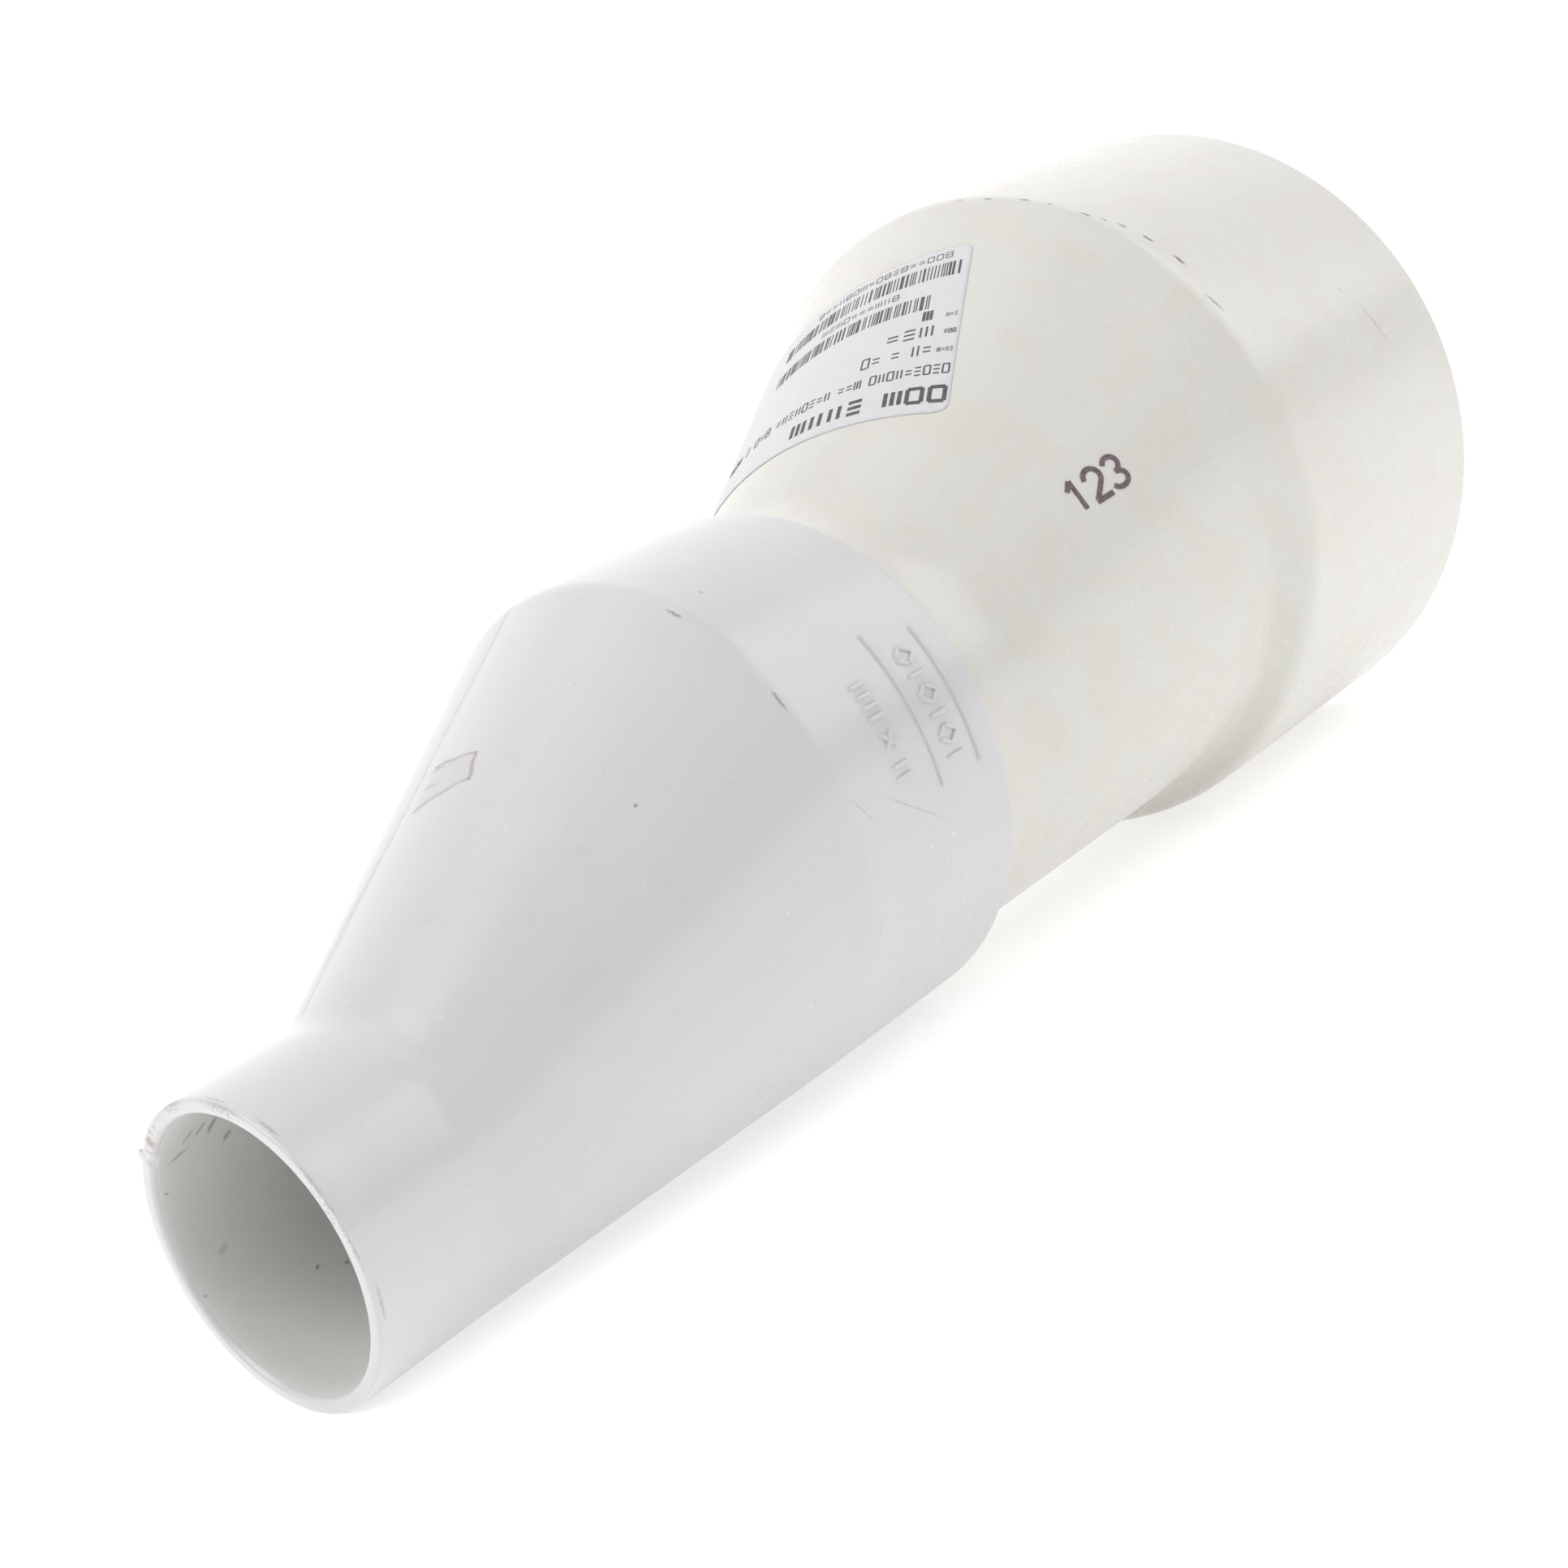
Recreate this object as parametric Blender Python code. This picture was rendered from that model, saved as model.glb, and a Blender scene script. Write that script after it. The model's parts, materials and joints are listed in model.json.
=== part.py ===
"""Eccentric reducer, socket by socket, for plastic pipe.

The fitting is cemented together from two moulded eccentric reducers. The
small reducer takes the narrow pipe in one socket and holds the spigot of the
large reducer in its other, wider socket. The large reducer ends in the big
socket. A wiped bead of solvent cement closes the joint between them, a paper
label is stuck on the big taper, and a strip of clear tape on the small one.

The pipe axis runs along +X, from the small mouth to the big one. All three
hubs touch the floor plane z = 0 along one line, so the flat side is at the
bottom and both slopes are on top. The origin is the centre of the bounding
box's bottom face.

Run it with: blender --background --python part.py
"""

import math
from typing import NamedTuple

import bmesh
import bpy
import numpy as np
from mathutils import Matrix, Vector

MM = 0.001

# ------------------------------------------------------------ sizes in mm
# Small end: socket for the narrow pipe, in a straight hub. A socket narrows a
# little towards its pipe stop, which lies a little past the hub, in the taper.
SMALL_SOCKET_MOUTH_ID = 60.6
SMALL_SOCKET_DRAFT = 0.4
SMALL_SOCKET_DEPTH = 38.0
SMALL_STOP_WIDTH = 3.85
SMALL_STOP_PAST_HUB = 5.0
SMALL_HUB_WALL = 3.7

# Middle joint: socket of the small reducer round the spigot of the large one.
SPIGOT_OD = 114.3
SPIGOT_WALL = 6.0
SPIGOT_END_GAP = 1.0
JOINT_CLEARANCE = 0.3
MID_SOCKET_DEPTH = 50.8
MID_STOP_BACKING = 2.2
MID_HUB_WALL = 5.85

# Big end: socket for the wide pipe, in a straight hub.
LARGE_SOCKET_MOUTH_ID = 168.8
LARGE_SOCKET_DRAFT = 0.8
LARGE_SOCKET_DEPTH = 76.0
LARGE_STOP_WIDTH = 6.95
LARGE_STOP_BACKING = 14.0
LARGE_HUB_WALL = 4.5

# Lengths of the tapers, and of the bare neck behind the middle hub.
SMALL_TAPER_LENGTH = 97.0
NECK_LENGTH = 19.0
LARGE_TAPER_LENGTH = 95.0

# Straight land of bore between a pipe stop and the start of its taper.
SMALL_BORE_LAND = 4.0
MID_BORE_LAND = 3.0
LARGE_BORE_LAND = 8.0

# Moulded edges. A blend is half the length over which a corner is eased.
RIM_CHAMFER = 0.6
LEAD_IN_LENGTH = 2.5
LEAD_IN_WIDTH = 1.3
SMALL_FILLET_BLEND = 3.0
SMALL_SHOULDER_BLEND = 2.0
NECK_BLEND = 7.0
LARGE_EDGE_BLEND = 2.0
LARGE_SHOULDER_RADIUS = 10.0
LARGE_SHOULDER_ADVANCE = 6.0
FLAT_SIDE_RISE = 1.5

# Bead of solvent cement wiped round the mouth of the middle socket.
BEAD_LEG = 1.8
BEAD_HOLLOW = 0.35
BEAD_CLEARANCE = 0.3

# Paper label, laid flat on the unrolled big taper, then wrapped with it. Its
# middle lies a little nearer the neck than the middle of the taper, and it was
# stuck on a little askew.
LABEL_WIDTH = 101.6
LABEL_HEIGHT = 60.0
LABEL_THICKNESS = 0.3
LABEL_CLEARANCE = 0.35
LABEL_TURN = -10.2
LABEL_OFF_MIDDLE = -2.4
LABEL_ASKEW = -8.2

# Clear tape along the top of the small taper.
TAPE_WIDTH = 24.0
TAPE_END_MARGIN = 9.0
TAPE_OFF_MIDDLE = -1.65
TAPE_ASKEW = 0.0
TAPE_THICKNESS = 0.3
TAPE_CLEARANCE = 0.35
TAPE_TURN = -27.0

# Facets, and the sharpest bend that still shades smooth, in degrees.
SEGMENTS = 80
BLEND_STEPS = 4
SHOULDER_STEPS = 5
LABEL_CELLS = (24, 5)
TAPE_CELLS = (6, 8)
SMOOTH_UNDER = 30.0

# ---------------------------------------------------------- bores and hubs
SMALL_SOCKET_STOP_ID = SMALL_SOCKET_MOUTH_ID - SMALL_SOCKET_DRAFT
SMALL_BORE_ID = SMALL_SOCKET_STOP_ID - 2 * SMALL_STOP_WIDTH
SMALL_HUB_OD = SMALL_SOCKET_MOUTH_ID + 2 * SMALL_HUB_WALL
SMALL_HUB_LENGTH = SMALL_SOCKET_DEPTH - SMALL_STOP_PAST_HUB

MID_SOCKET_ID = SPIGOT_OD + 2 * JOINT_CLEARANCE
MID_BORE_ID = SPIGOT_OD - 2 * SPIGOT_WALL
MID_HUB_OD = MID_SOCKET_ID + 2 * MID_HUB_WALL
MID_HUB_LENGTH = MID_SOCKET_DEPTH + MID_STOP_BACKING

LARGE_SOCKET_STOP_ID = LARGE_SOCKET_MOUTH_ID - LARGE_SOCKET_DRAFT
LARGE_BORE_ID = LARGE_SOCKET_STOP_ID - 2 * LARGE_STOP_WIDTH
LARGE_HUB_OD = LARGE_SOCKET_MOUTH_ID + 2 * LARGE_HUB_WALL
LARGE_HUB_LENGTH = LARGE_SOCKET_DEPTH + LARGE_STOP_BACKING

# -------------------------------------------------- places along the pipe
SMALL_TAPER_START = SMALL_HUB_LENGTH
SMALL_TAPER_END = SMALL_TAPER_START + SMALL_TAPER_LENGTH
MID_RIM = SMALL_TAPER_END + MID_HUB_LENGTH
MID_STOP = MID_RIM - MID_SOCKET_DEPTH
SPIGOT_START = MID_STOP + SPIGOT_END_GAP
NECK_END = MID_RIM + NECK_LENGTH
LARGE_TAPER_END = NECK_END + LARGE_TAPER_LENGTH
SHOULDER_FRONT = LARGE_TAPER_END - LARGE_SHOULDER_ADVANCE
LARGE_RIM = LARGE_TAPER_END + LARGE_HUB_LENGTH
LARGE_STOP = LARGE_RIM - LARGE_SOCKET_DEPTH

# Heights of the three pipe axes above the floor.
SMALL_AXIS = SMALL_HUB_OD / 2
MID_AXIS = MID_HUB_OD / 2
LARGE_AXIS = LARGE_HUB_OD / 2


class Ring(NamedTuple):
    """A circle across the pipe: its place, and its lowest and highest z."""

    x: float
    low: float
    high: float


class Taper(NamedTuple):
    """A sloping outside between two rings, with an eased corner at each."""

    first: Ring
    last: Ring
    ease_in: float
    ease_out: float


SMALL_TAPER = Taper(
    Ring(SMALL_TAPER_START, 0.0, SMALL_HUB_OD),
    Ring(SMALL_TAPER_END, 0.0, MID_HUB_OD),
    SMALL_FILLET_BLEND,
    SMALL_SHOULDER_BLEND,
)
LARGE_TAPER = Taper(
    Ring(NECK_END, MID_AXIS - SPIGOT_OD / 2, MID_AXIS + SPIGOT_OD / 2),
    Ring(LARGE_TAPER_END, MID_AXIS - SPIGOT_OD / 2 + FLAT_SIDE_RISE, LARGE_HUB_OD),
    NECK_BLEND,
    LARGE_EDGE_BLEND,
)


def centred(x, axis, diameter):
    """Ring of a given diameter round an axis at a given height."""
    return Ring(x, axis - diameter / 2, axis + diameter / 2)


def eased_run(x, corner, ease):
    """Distance past a corner, with a parabola of half length ease over it."""
    past = x - corner
    if past <= -ease:
        return 0.0
    if past >= ease:
        return past
    return (past + ease) ** 2 / (4 * ease)


def taper_ring(taper, x):
    """Ring of a taper's outside at x, with both of its corners eased."""
    length = taper.last.x - taper.first.x
    share = eased_run(x, taper.first.x, taper.ease_in)
    share -= eased_run(x, taper.last.x, taper.ease_out)
    share /= length
    low = taper.first.low + share * (taper.last.low - taper.first.low)
    high = taper.first.high + share * (taper.last.high - taper.first.high)
    return Ring(x, low, high)


def shoulder_low(x):
    """Lowest z of the big hub's rounded front: a quarter circle, then flat."""
    depth = LARGE_SHOULDER_RADIUS - (x - SHOULDER_FRONT)
    if depth <= 0:
        return 0.0
    return LARGE_SHOULDER_RADIUS - math.sqrt(LARGE_SHOULDER_RADIUS**2 - depth**2)


def spread(first, last, steps):
    """Evenly spaced values from first to last, ends included."""
    return [first + (last - first) * step / steps for step in range(steps + 1)]


def corner_stations(corner, ease):
    """Places of the rings that draw one eased corner."""
    return spread(corner - ease, corner + ease, BLEND_STEPS)


def rim_rings(x, axis, outer, inner, outward):
    """Rings round a socket's rim: outer chamfer, flat rim, inner lead-in."""
    return [
        centred(x - outward * RIM_CHAMFER, axis, outer),
        centred(x, axis, outer - 2 * RIM_CHAMFER),
        centred(x, axis, inner + 2 * LEAD_IN_WIDTH),
        centred(x - outward * LEAD_IN_LENGTH, axis, inner),
    ]


def small_reducer_rings():
    """Closed chain of rings: outside to the right, inside back to the left."""
    small_rim = rim_rings(0.0, SMALL_AXIS, SMALL_HUB_OD, SMALL_SOCKET_MOUTH_ID, -1)
    outside = [
        taper_ring(SMALL_TAPER, x)
        for x in corner_stations(SMALL_TAPER_START, SMALL_FILLET_BLEND)
        + corner_stations(SMALL_TAPER_END, SMALL_SHOULDER_BLEND)
    ]
    mid_rim = rim_rings(MID_RIM, MID_AXIS, MID_HUB_OD, MID_SOCKET_ID, 1)
    inside = [
        centred(MID_STOP, MID_AXIS, MID_SOCKET_ID),
        centred(MID_STOP, MID_AXIS, MID_BORE_ID),
        centred(MID_STOP - MID_BORE_LAND, MID_AXIS, MID_BORE_ID),
        centred(SMALL_SOCKET_DEPTH + SMALL_BORE_LAND, SMALL_AXIS, SMALL_BORE_ID),
        centred(SMALL_SOCKET_DEPTH, SMALL_AXIS, SMALL_BORE_ID),
        centred(SMALL_SOCKET_DEPTH, SMALL_AXIS, SMALL_SOCKET_STOP_ID),
    ]
    return [small_rim[0], *outside, *mid_rim, *inside, *small_rim[:0:-1]]


def large_shoulder_rings():
    """Rings where the taper runs into the big hub's rounded shoulder.

    The top follows the taper. The bottom follows the taper's flat side until
    the shoulder's quarter circle comes down past it.
    """
    flat_side = LARGE_TAPER.last.low
    first_depth = math.sqrt(
        LARGE_SHOULDER_RADIUS**2 - (LARGE_SHOULDER_RADIUS - flat_side) ** 2
    )
    start = SHOULDER_FRONT + LARGE_SHOULDER_RADIUS - first_depth
    end = SHOULDER_FRONT + LARGE_SHOULDER_RADIUS
    rings = []
    for x in spread(start, end, SHOULDER_STEPS):
        slope = taper_ring(LARGE_TAPER, x)
        rings.append(Ring(x, min(slope.low, shoulder_low(x)), slope.high))
    return rings


def large_reducer_rings():
    """Closed chain of rings: outside to the right, inside back to the left."""
    neck = [
        taper_ring(LARGE_TAPER, x) for x in corner_stations(NECK_END, NECK_BLEND)
    ]
    rim = rim_rings(LARGE_RIM, LARGE_AXIS, LARGE_HUB_OD, LARGE_SOCKET_MOUTH_ID, 1)
    inside = [
        centred(LARGE_STOP, LARGE_AXIS, LARGE_SOCKET_STOP_ID),
        centred(LARGE_STOP, LARGE_AXIS, LARGE_BORE_ID),
        centred(LARGE_STOP - LARGE_BORE_LAND, LARGE_AXIS, LARGE_BORE_ID),
        centred(NECK_END, MID_AXIS, MID_BORE_ID),
        centred(SPIGOT_START, MID_AXIS, MID_BORE_ID),
        centred(SPIGOT_START, MID_AXIS, SPIGOT_OD - 2 * RIM_CHAMFER),
    ]
    spigot = centred(SPIGOT_START + RIM_CHAMFER, MID_AXIS, SPIGOT_OD)
    return [spigot, *neck, *large_shoulder_rings(), *rim, *inside]


def cement_bead_rings():
    """Closed chain of rings: a hollow-faced fillet of wiped cement."""
    x = MID_RIM + BEAD_CLEARANCE
    root = SPIGOT_OD + 2 * BEAD_CLEARANCE
    hollow = BEAD_LEG * BEAD_HOLLOW
    return [
        centred(x, MID_AXIS, root),
        centred(x, MID_AXIS, root + 2 * BEAD_LEG),
        centred(x + hollow, MID_AXIS, root + 2 * hollow),
        centred(x + BEAD_LEG, MID_AXIS, root),
    ]


def centre_x(x):
    """Place along the pipe, counted from the middle of the fitting."""
    return x - LARGE_RIM / 2


def ring_centre(ring):
    """Centre of a ring, in metres."""
    return Vector((centre_x(ring.x), 0.0, (ring.low + ring.high) / 2)) * MM


def extruded_shell(name, rings):
    """Closed shell: one circle is extruded from ring to ring and back again.

    Each step moves the new circle to the next ring's centre and scales it to
    the next ring's size. The last circle is bridged to the first one.
    """
    shell = bmesh.new()
    made = bmesh.ops.create_circle(
        shell,
        cap_ends=False,
        segments=SEGMENTS,
        radius=(rings[0].high - rings[0].low) / 2 * MM,
        matrix=Matrix.Translation(ring_centre(rings[0])) @ Matrix.Rotation(math.pi / 2, 4, "Y"),
    )
    first_edges = list({edge for vert in made["verts"] for edge in vert.link_edges})
    edges = first_edges
    for here, there in zip(rings, rings[1:]):
        grown = bmesh.ops.extrude_edge_only(shell, edges=edges)["geom"]
        verts = [part for part in grown if isinstance(part, bmesh.types.BMVert)]
        ring_verts = set(verts)
        edges = [
            part
            for part in grown
            if isinstance(part, bmesh.types.BMEdge) and ring_verts.issuperset(part.verts)
        ]
        ratio = (there.high - there.low) / (here.high - here.low)
        step = (
            Matrix.Translation(ring_centre(there))
            @ Matrix.Diagonal((1.0, ratio, ratio, 1.0))
            @ Matrix.Translation(-ring_centre(here))
        )
        bmesh.ops.transform(shell, matrix=step, verts=verts)
    bmesh.ops.bridge_loops(shell, edges=edges + first_edges)
    bmesh.ops.recalc_face_normals(shell, faces=shell.faces)
    mesh = bpy.data.meshes.new(name)
    shell.to_mesh(mesh)
    shell.free()
    return mesh


def unrolled_taper(taper):
    """Apex of an oblique cone, and how far round the unrolled cone each turn is.

    The straight lines of the cone all pass through the apex. The angle
    between neighbouring lines, added up, is the angle on the flat sheet.
    """
    radius = (taper.first.high - taper.first.low) / 2
    radius_end = (taper.last.high - taper.last.low) / 2
    height = (taper.first.high + taper.first.low) / 2
    height_end = (taper.last.high + taper.last.low) / 2
    length = taper.last.x - taper.first.x
    back = radius * length / (radius_end - radius)
    apex = np.array([
        taper.first.x - back,
        0.0,
        height - back * (height_end - height) / length,
    ])
    turns = np.radians(np.arange(-180.0, 181.0, 1.0))
    base = np.stack([
        np.full_like(turns, taper.first.x),
        -radius * np.sin(turns),
        height + radius * np.cos(turns),
    ], axis=1)
    lines = base - apex
    lines /= np.linalg.norm(lines, axis=1)[:, None]
    steps = np.arccos(np.clip((lines[1:] * lines[:-1]).sum(axis=1), -1.0, 1.0))
    sheet = np.concatenate([[0.0], np.cumsum(steps)])
    return apex, turns, sheet, lines


def wrapped_sheet(name, taper, place, size, cells, clearance, thickness):
    """Thin rectangle that lies flat on the unrolled taper, wrapped round it.

    place is the line that the sheet's middle lies on, in degrees from the top
    towards -Y, how far along that line it lies from the middle of the taper,
    and how many degrees the sheet is turned askew. size is its width and height.
    """
    turn, off_middle, askew = place
    width, height = size
    skew = Matrix.Rotation(-math.radians(askew), 2)
    apex, turns, sheet, lines = unrolled_taper(taper)
    middle = np.interp(math.radians(turn), turns, sheet)
    slant = np.interp(math.radians(turn), turns, lines[:, 0])
    taper_middle = ((taper.first.x + taper.last.x) / 2 - apex[0]) / slant
    from_apex = taper_middle + off_middle
    grid = bmesh.new()
    bmesh.ops.create_grid(grid, x_segments=cells[0], y_segments=cells[1], size=0.5)
    for vert in grid.verts:
        across, along = skew @ Vector((vert.co.x * width, vert.co.y * height))
        reach = math.hypot(from_apex + along, across)
        at_sheet = middle + math.atan2(across, from_apex + along)
        angle = np.interp(at_sheet, sheet, turns)
        line = [np.interp(at_sheet, sheet, lines[:, axis]) for axis in range(3)]
        point = apex + reach * np.array(line) / np.linalg.norm(line)
        out_y = -math.sin(angle) * clearance
        out_z = math.cos(angle) * clearance
        vert.co = (
            centre_x(point[0]) * MM,
            (point[1] + out_y) * MM,
            (point[2] + out_z) * MM,
        )
    bmesh.ops.recalc_face_normals(grid, faces=grid.faces)
    mesh = bpy.data.meshes.new(name)
    grid.to_mesh(mesh)
    grid.free()
    if sum(face.normal.z for face in mesh.polygons) < 0:
        mesh.flip_normals()
    piece = bpy.data.objects.new(name, mesh)
    wall = piece.modifiers.new("paper thickness", "SOLIDIFY")
    wall.thickness = thickness * MM
    wall.offset = 1.0
    return piece


def finish_material(name, colour, roughness):
    """Principled material of one plain colour."""
    material = bpy.data.materials.new(name)
    material.use_nodes = True
    shader = material.node_tree.nodes["Principled BSDF"]
    shader.inputs["Base Color"].default_value = (*colour, 1.0)
    shader.inputs["Roughness"].default_value = roughness
    shader.inputs["Metallic"].default_value = 0.0
    material.diffuse_color = (*colour, 1.0)
    return material


def placed(piece, parent, material):
    """Link a piece under the fitting's empty, with its finish on it."""
    bpy.context.scene.collection.objects.link(piece)
    piece.parent = parent
    piece.data.materials.append(material)
    piece.data.shade_smooth()
    piece.data.set_sharp_from_angle(angle=math.radians(SMOOTH_UNDER))
    return piece


def build():
    """Make the whole fitting."""
    for old in list(bpy.data.objects):
        bpy.data.objects.remove(old, do_unlink=True)

    fitting = bpy.data.objects.new("eccentric_reducer", None)
    bpy.context.scene.collection.objects.link(fitting)

    white_pvc = finish_material("white moulded PVC", (0.78, 0.78, 0.80), 0.38)
    cream_pvc = finish_material("off-white moulded PVC", (0.76, 0.75, 0.70), 0.42)
    cement = finish_material("clear solvent cement", (0.74, 0.72, 0.64), 0.25)
    paper = finish_material("coated label paper", (0.86, 0.86, 0.87), 0.55)
    film = finish_material("clear packing tape", (0.80, 0.79, 0.76), 0.15)

    shells = [
        ("small_reducer", small_reducer_rings(), white_pvc),
        ("large_reducer", large_reducer_rings(), cream_pvc),
        ("cement_bead", cement_bead_rings(), cement),
    ]
    for name, rings, material in shells:
        placed(bpy.data.objects.new(name, extruded_shell(name, rings)), fitting, material)

    label = wrapped_sheet(
        "paper_label", LARGE_TAPER, (LABEL_TURN, LABEL_OFF_MIDDLE, LABEL_ASKEW),
        (LABEL_WIDTH, LABEL_HEIGHT), LABEL_CELLS, LABEL_CLEARANCE, LABEL_THICKNESS,
    )
    placed(label, fitting, paper)

    tape_slant = math.hypot(SMALL_TAPER_LENGTH, MID_HUB_OD - SMALL_HUB_OD)
    tape = wrapped_sheet(
        "clear_tape", SMALL_TAPER, (TAPE_TURN, TAPE_OFF_MIDDLE, TAPE_ASKEW),
        (TAPE_WIDTH, tape_slant - 2 * TAPE_END_MARGIN), TAPE_CELLS,
        TAPE_CLEARANCE, TAPE_THICKNESS,
    )
    placed(tape, fitting, film)


build()
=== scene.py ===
"""Looks of the eccentric reducer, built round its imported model.

Two moulded PVC reducers are cemented into each other. The white one in front
carries raised moulding marks and scraps of clear tape, the off-white one
behind carries a paper stock label and an inked inspection number. Every
surface is worked out with numpy from the sizes below and from the frame, in
millimetres, and goes into its mesh in metres.
"""

import json
import logging
import math
from dataclasses import dataclass, field
from enum import Enum, IntEnum

import bpy
import numpy as np
from mathutils import Matrix, Vector


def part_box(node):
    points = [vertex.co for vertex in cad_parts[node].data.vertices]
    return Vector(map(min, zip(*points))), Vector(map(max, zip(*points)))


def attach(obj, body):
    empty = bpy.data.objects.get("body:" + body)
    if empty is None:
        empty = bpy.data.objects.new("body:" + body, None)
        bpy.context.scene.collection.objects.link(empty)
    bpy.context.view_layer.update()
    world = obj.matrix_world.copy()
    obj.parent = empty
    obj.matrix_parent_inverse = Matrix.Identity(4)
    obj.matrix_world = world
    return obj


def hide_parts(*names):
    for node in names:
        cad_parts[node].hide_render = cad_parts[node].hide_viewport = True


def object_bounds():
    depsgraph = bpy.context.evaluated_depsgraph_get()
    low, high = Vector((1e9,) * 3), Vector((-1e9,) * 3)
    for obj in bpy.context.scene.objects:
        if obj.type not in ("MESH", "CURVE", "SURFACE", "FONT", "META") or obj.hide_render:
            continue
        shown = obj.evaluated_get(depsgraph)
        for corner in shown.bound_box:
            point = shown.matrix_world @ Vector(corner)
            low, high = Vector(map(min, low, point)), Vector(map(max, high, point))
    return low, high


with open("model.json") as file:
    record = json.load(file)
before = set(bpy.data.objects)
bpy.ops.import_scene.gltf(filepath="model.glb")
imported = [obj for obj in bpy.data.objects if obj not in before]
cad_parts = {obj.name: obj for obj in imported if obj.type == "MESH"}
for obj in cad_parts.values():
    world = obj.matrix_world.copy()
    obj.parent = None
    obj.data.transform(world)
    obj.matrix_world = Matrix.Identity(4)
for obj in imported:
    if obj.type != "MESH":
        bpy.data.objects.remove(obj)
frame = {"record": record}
CAD_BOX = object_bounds()

log = logging.getLogger("reducer")

MM = 0.001
BODY = "root"
SEGMENTS = 256

# How far noise shifts the edge of a mark, and how far under the outside the core
# side begins, in millimetres.
RAGGED = 0.6
CORE_DEPTH = 3.5


# --------------------------------------------------------------- from the frame
def mount(name: str) -> Vector:
    """Place of one of the record's mounts, in millimetres.

    Args:
        name: the mount's name in the record.

    Returns:
        The mount's point in the frame.
    """
    mounts = frame["record"]["mounts"]
    found = next(entry for entry in mounts if entry["name"] == name)
    return Vector(found["pos_m"]) / MM


def node_box(name: str) -> tuple[Vector, Vector]:
    """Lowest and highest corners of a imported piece, in millimetres.

    Args:
        name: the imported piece's name.

    Returns:
        The two corners.
    """
    low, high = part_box(name)
    return Vector(low) / MM, Vector(high) / MM


FRONT = CAD_BOX[0].x / MM
REAR = CAD_BOX[1].x / MM
SMALL_AXIS = mount("small_mouth_rim").z
LARGE_AXIS = mount("large_mouth_rim").z
MID_RIM = node_box("small_reducer")[1].x
MID_AXIS = node_box("small_reducer")[1].z / 2
SPIGOT_START = node_box("large_reducer")[0].x
SMALL_STOP = mount("small_pipe_stop").x
LARGE_STOP = mount("large_pipe_stop").x


# ------------------------------------------------------------------- formulas
def spaced(first: float, last: float, step: float) -> np.ndarray:
    """Even places from first to last, both included, about a step apart.

    Args:
        first: the first place.
        last: the last place.
        step: the wanted distance between places.

    Returns:
        The places.
    """
    count = max(2, round(abs(last - first) / step) + 1)
    return np.linspace(first, last, count)


def smooth_step(value: np.ndarray) -> np.ndarray:
    """Soft rise from 0 to 1: three times the square less twice the cube, held at the ends.

    Args:
        value: how far along the rise each place is.

    Returns:
        The height of the rise at each place.
    """
    held = np.clip(value, 0.0, 1.0)
    return held * held * (3.0 - 2.0 * held)


def window(value: np.ndarray, low: float, high: float, soft: float) -> np.ndarray:
    """One between two bounds and zero outside them, with soft edges.

    Args:
        value: the places.
        low: where the window opens.
        high: where it closes.
        soft: how long each edge takes.

    Returns:
        The window's height at each place.
    """
    return smooth_step((value - low) / soft) * smooth_step((high - value) / soft)


def ripple(first: np.ndarray, second: np.ndarray, seed: float) -> np.ndarray:
    """Gentle unevenness between -1 and 1: four sines at slanting angles, summed.

    Args:
        first: one coordinate of each place.
        second: the other coordinate.
        seed: shifts the sines, so that two surfaces differ.

    Returns:
        The unevenness at each place.
    """
    total = np.zeros(np.broadcast(first, second).shape)
    for turn in range(4):
        slant = seed + 1.7 * turn
        along = first * math.cos(slant) + second * math.sin(slant)
        total = total + np.sin(along * (1.0 + 0.43 * turn) + 5.1 * slant)
    return total / 4.0


def eased_run(x: np.ndarray, corner: float, ease: float) -> np.ndarray:
    """Distance past a corner, with a parabola of half length ease over it.

    Args:
        x: the places.
        corner: where the run starts.
        ease: half the length of the parabola.

    Returns:
        The distance run at each place.
    """
    past = x - corner
    curve = (past + ease) ** 2 / (4.0 * ease)
    return np.where(past <= -ease, 0.0, np.where(past >= ease, past, curve))


@dataclass(frozen=True)
class Taper:
    """Outside between two hubs, as the heights of its lowest and highest lines."""

    start: float
    end: float
    low: tuple[float, float]
    high: tuple[float, float]
    ease_in: float
    ease_out: float

    def share(self, x: np.ndarray) -> np.ndarray:
        """How much of the taper lies before each place, with both corners eased.

        Args:
            x: places along the pipe.

        Returns:
            Shares from 0 to 1.
        """
        run = eased_run(x, self.start, self.ease_in) - eased_run(x, self.end, self.ease_out)
        return run / (self.end - self.start)

    def lowest(self, x: np.ndarray) -> np.ndarray:
        """Height of the lowest line at each place."""
        return self.low[0] + self.share(x) * (self.low[1] - self.low[0])

    def highest(self, x: np.ndarray) -> np.ndarray:
        """Height of the highest line at each place."""
        return self.high[0] + self.share(x) * (self.high[1] - self.high[0])

    def circle(self, x: np.ndarray) -> tuple[np.ndarray, np.ndarray]:
        """Centre height and radius of the circle across the pipe at each place.

        Args:
            x: places along the pipe.

        Returns:
            The centre heights and the radii.
        """
        low, high = self.lowest(x), self.highest(x)
        return (low + high) / 2.0, (high - low) / 2.0

    def points(self, x: np.ndarray, turn: np.ndarray, lift: np.ndarray) -> np.ndarray:
        """Places on the outside: the circle's centre plus the radius, turned from the top.

        Args:
            x: places along the pipe.
            turn: angles from the top towards the front side, in radians.
            lift: heights above the outside.

        Returns:
            The places, with their coordinates along the last axis.
        """
        centre, radius = self.circle(x)
        reach = radius + lift
        flat = np.broadcast_arrays(x, -reach * np.sin(turn), centre + reach * np.cos(turn))
        return np.stack(flat, axis=-1)


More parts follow.
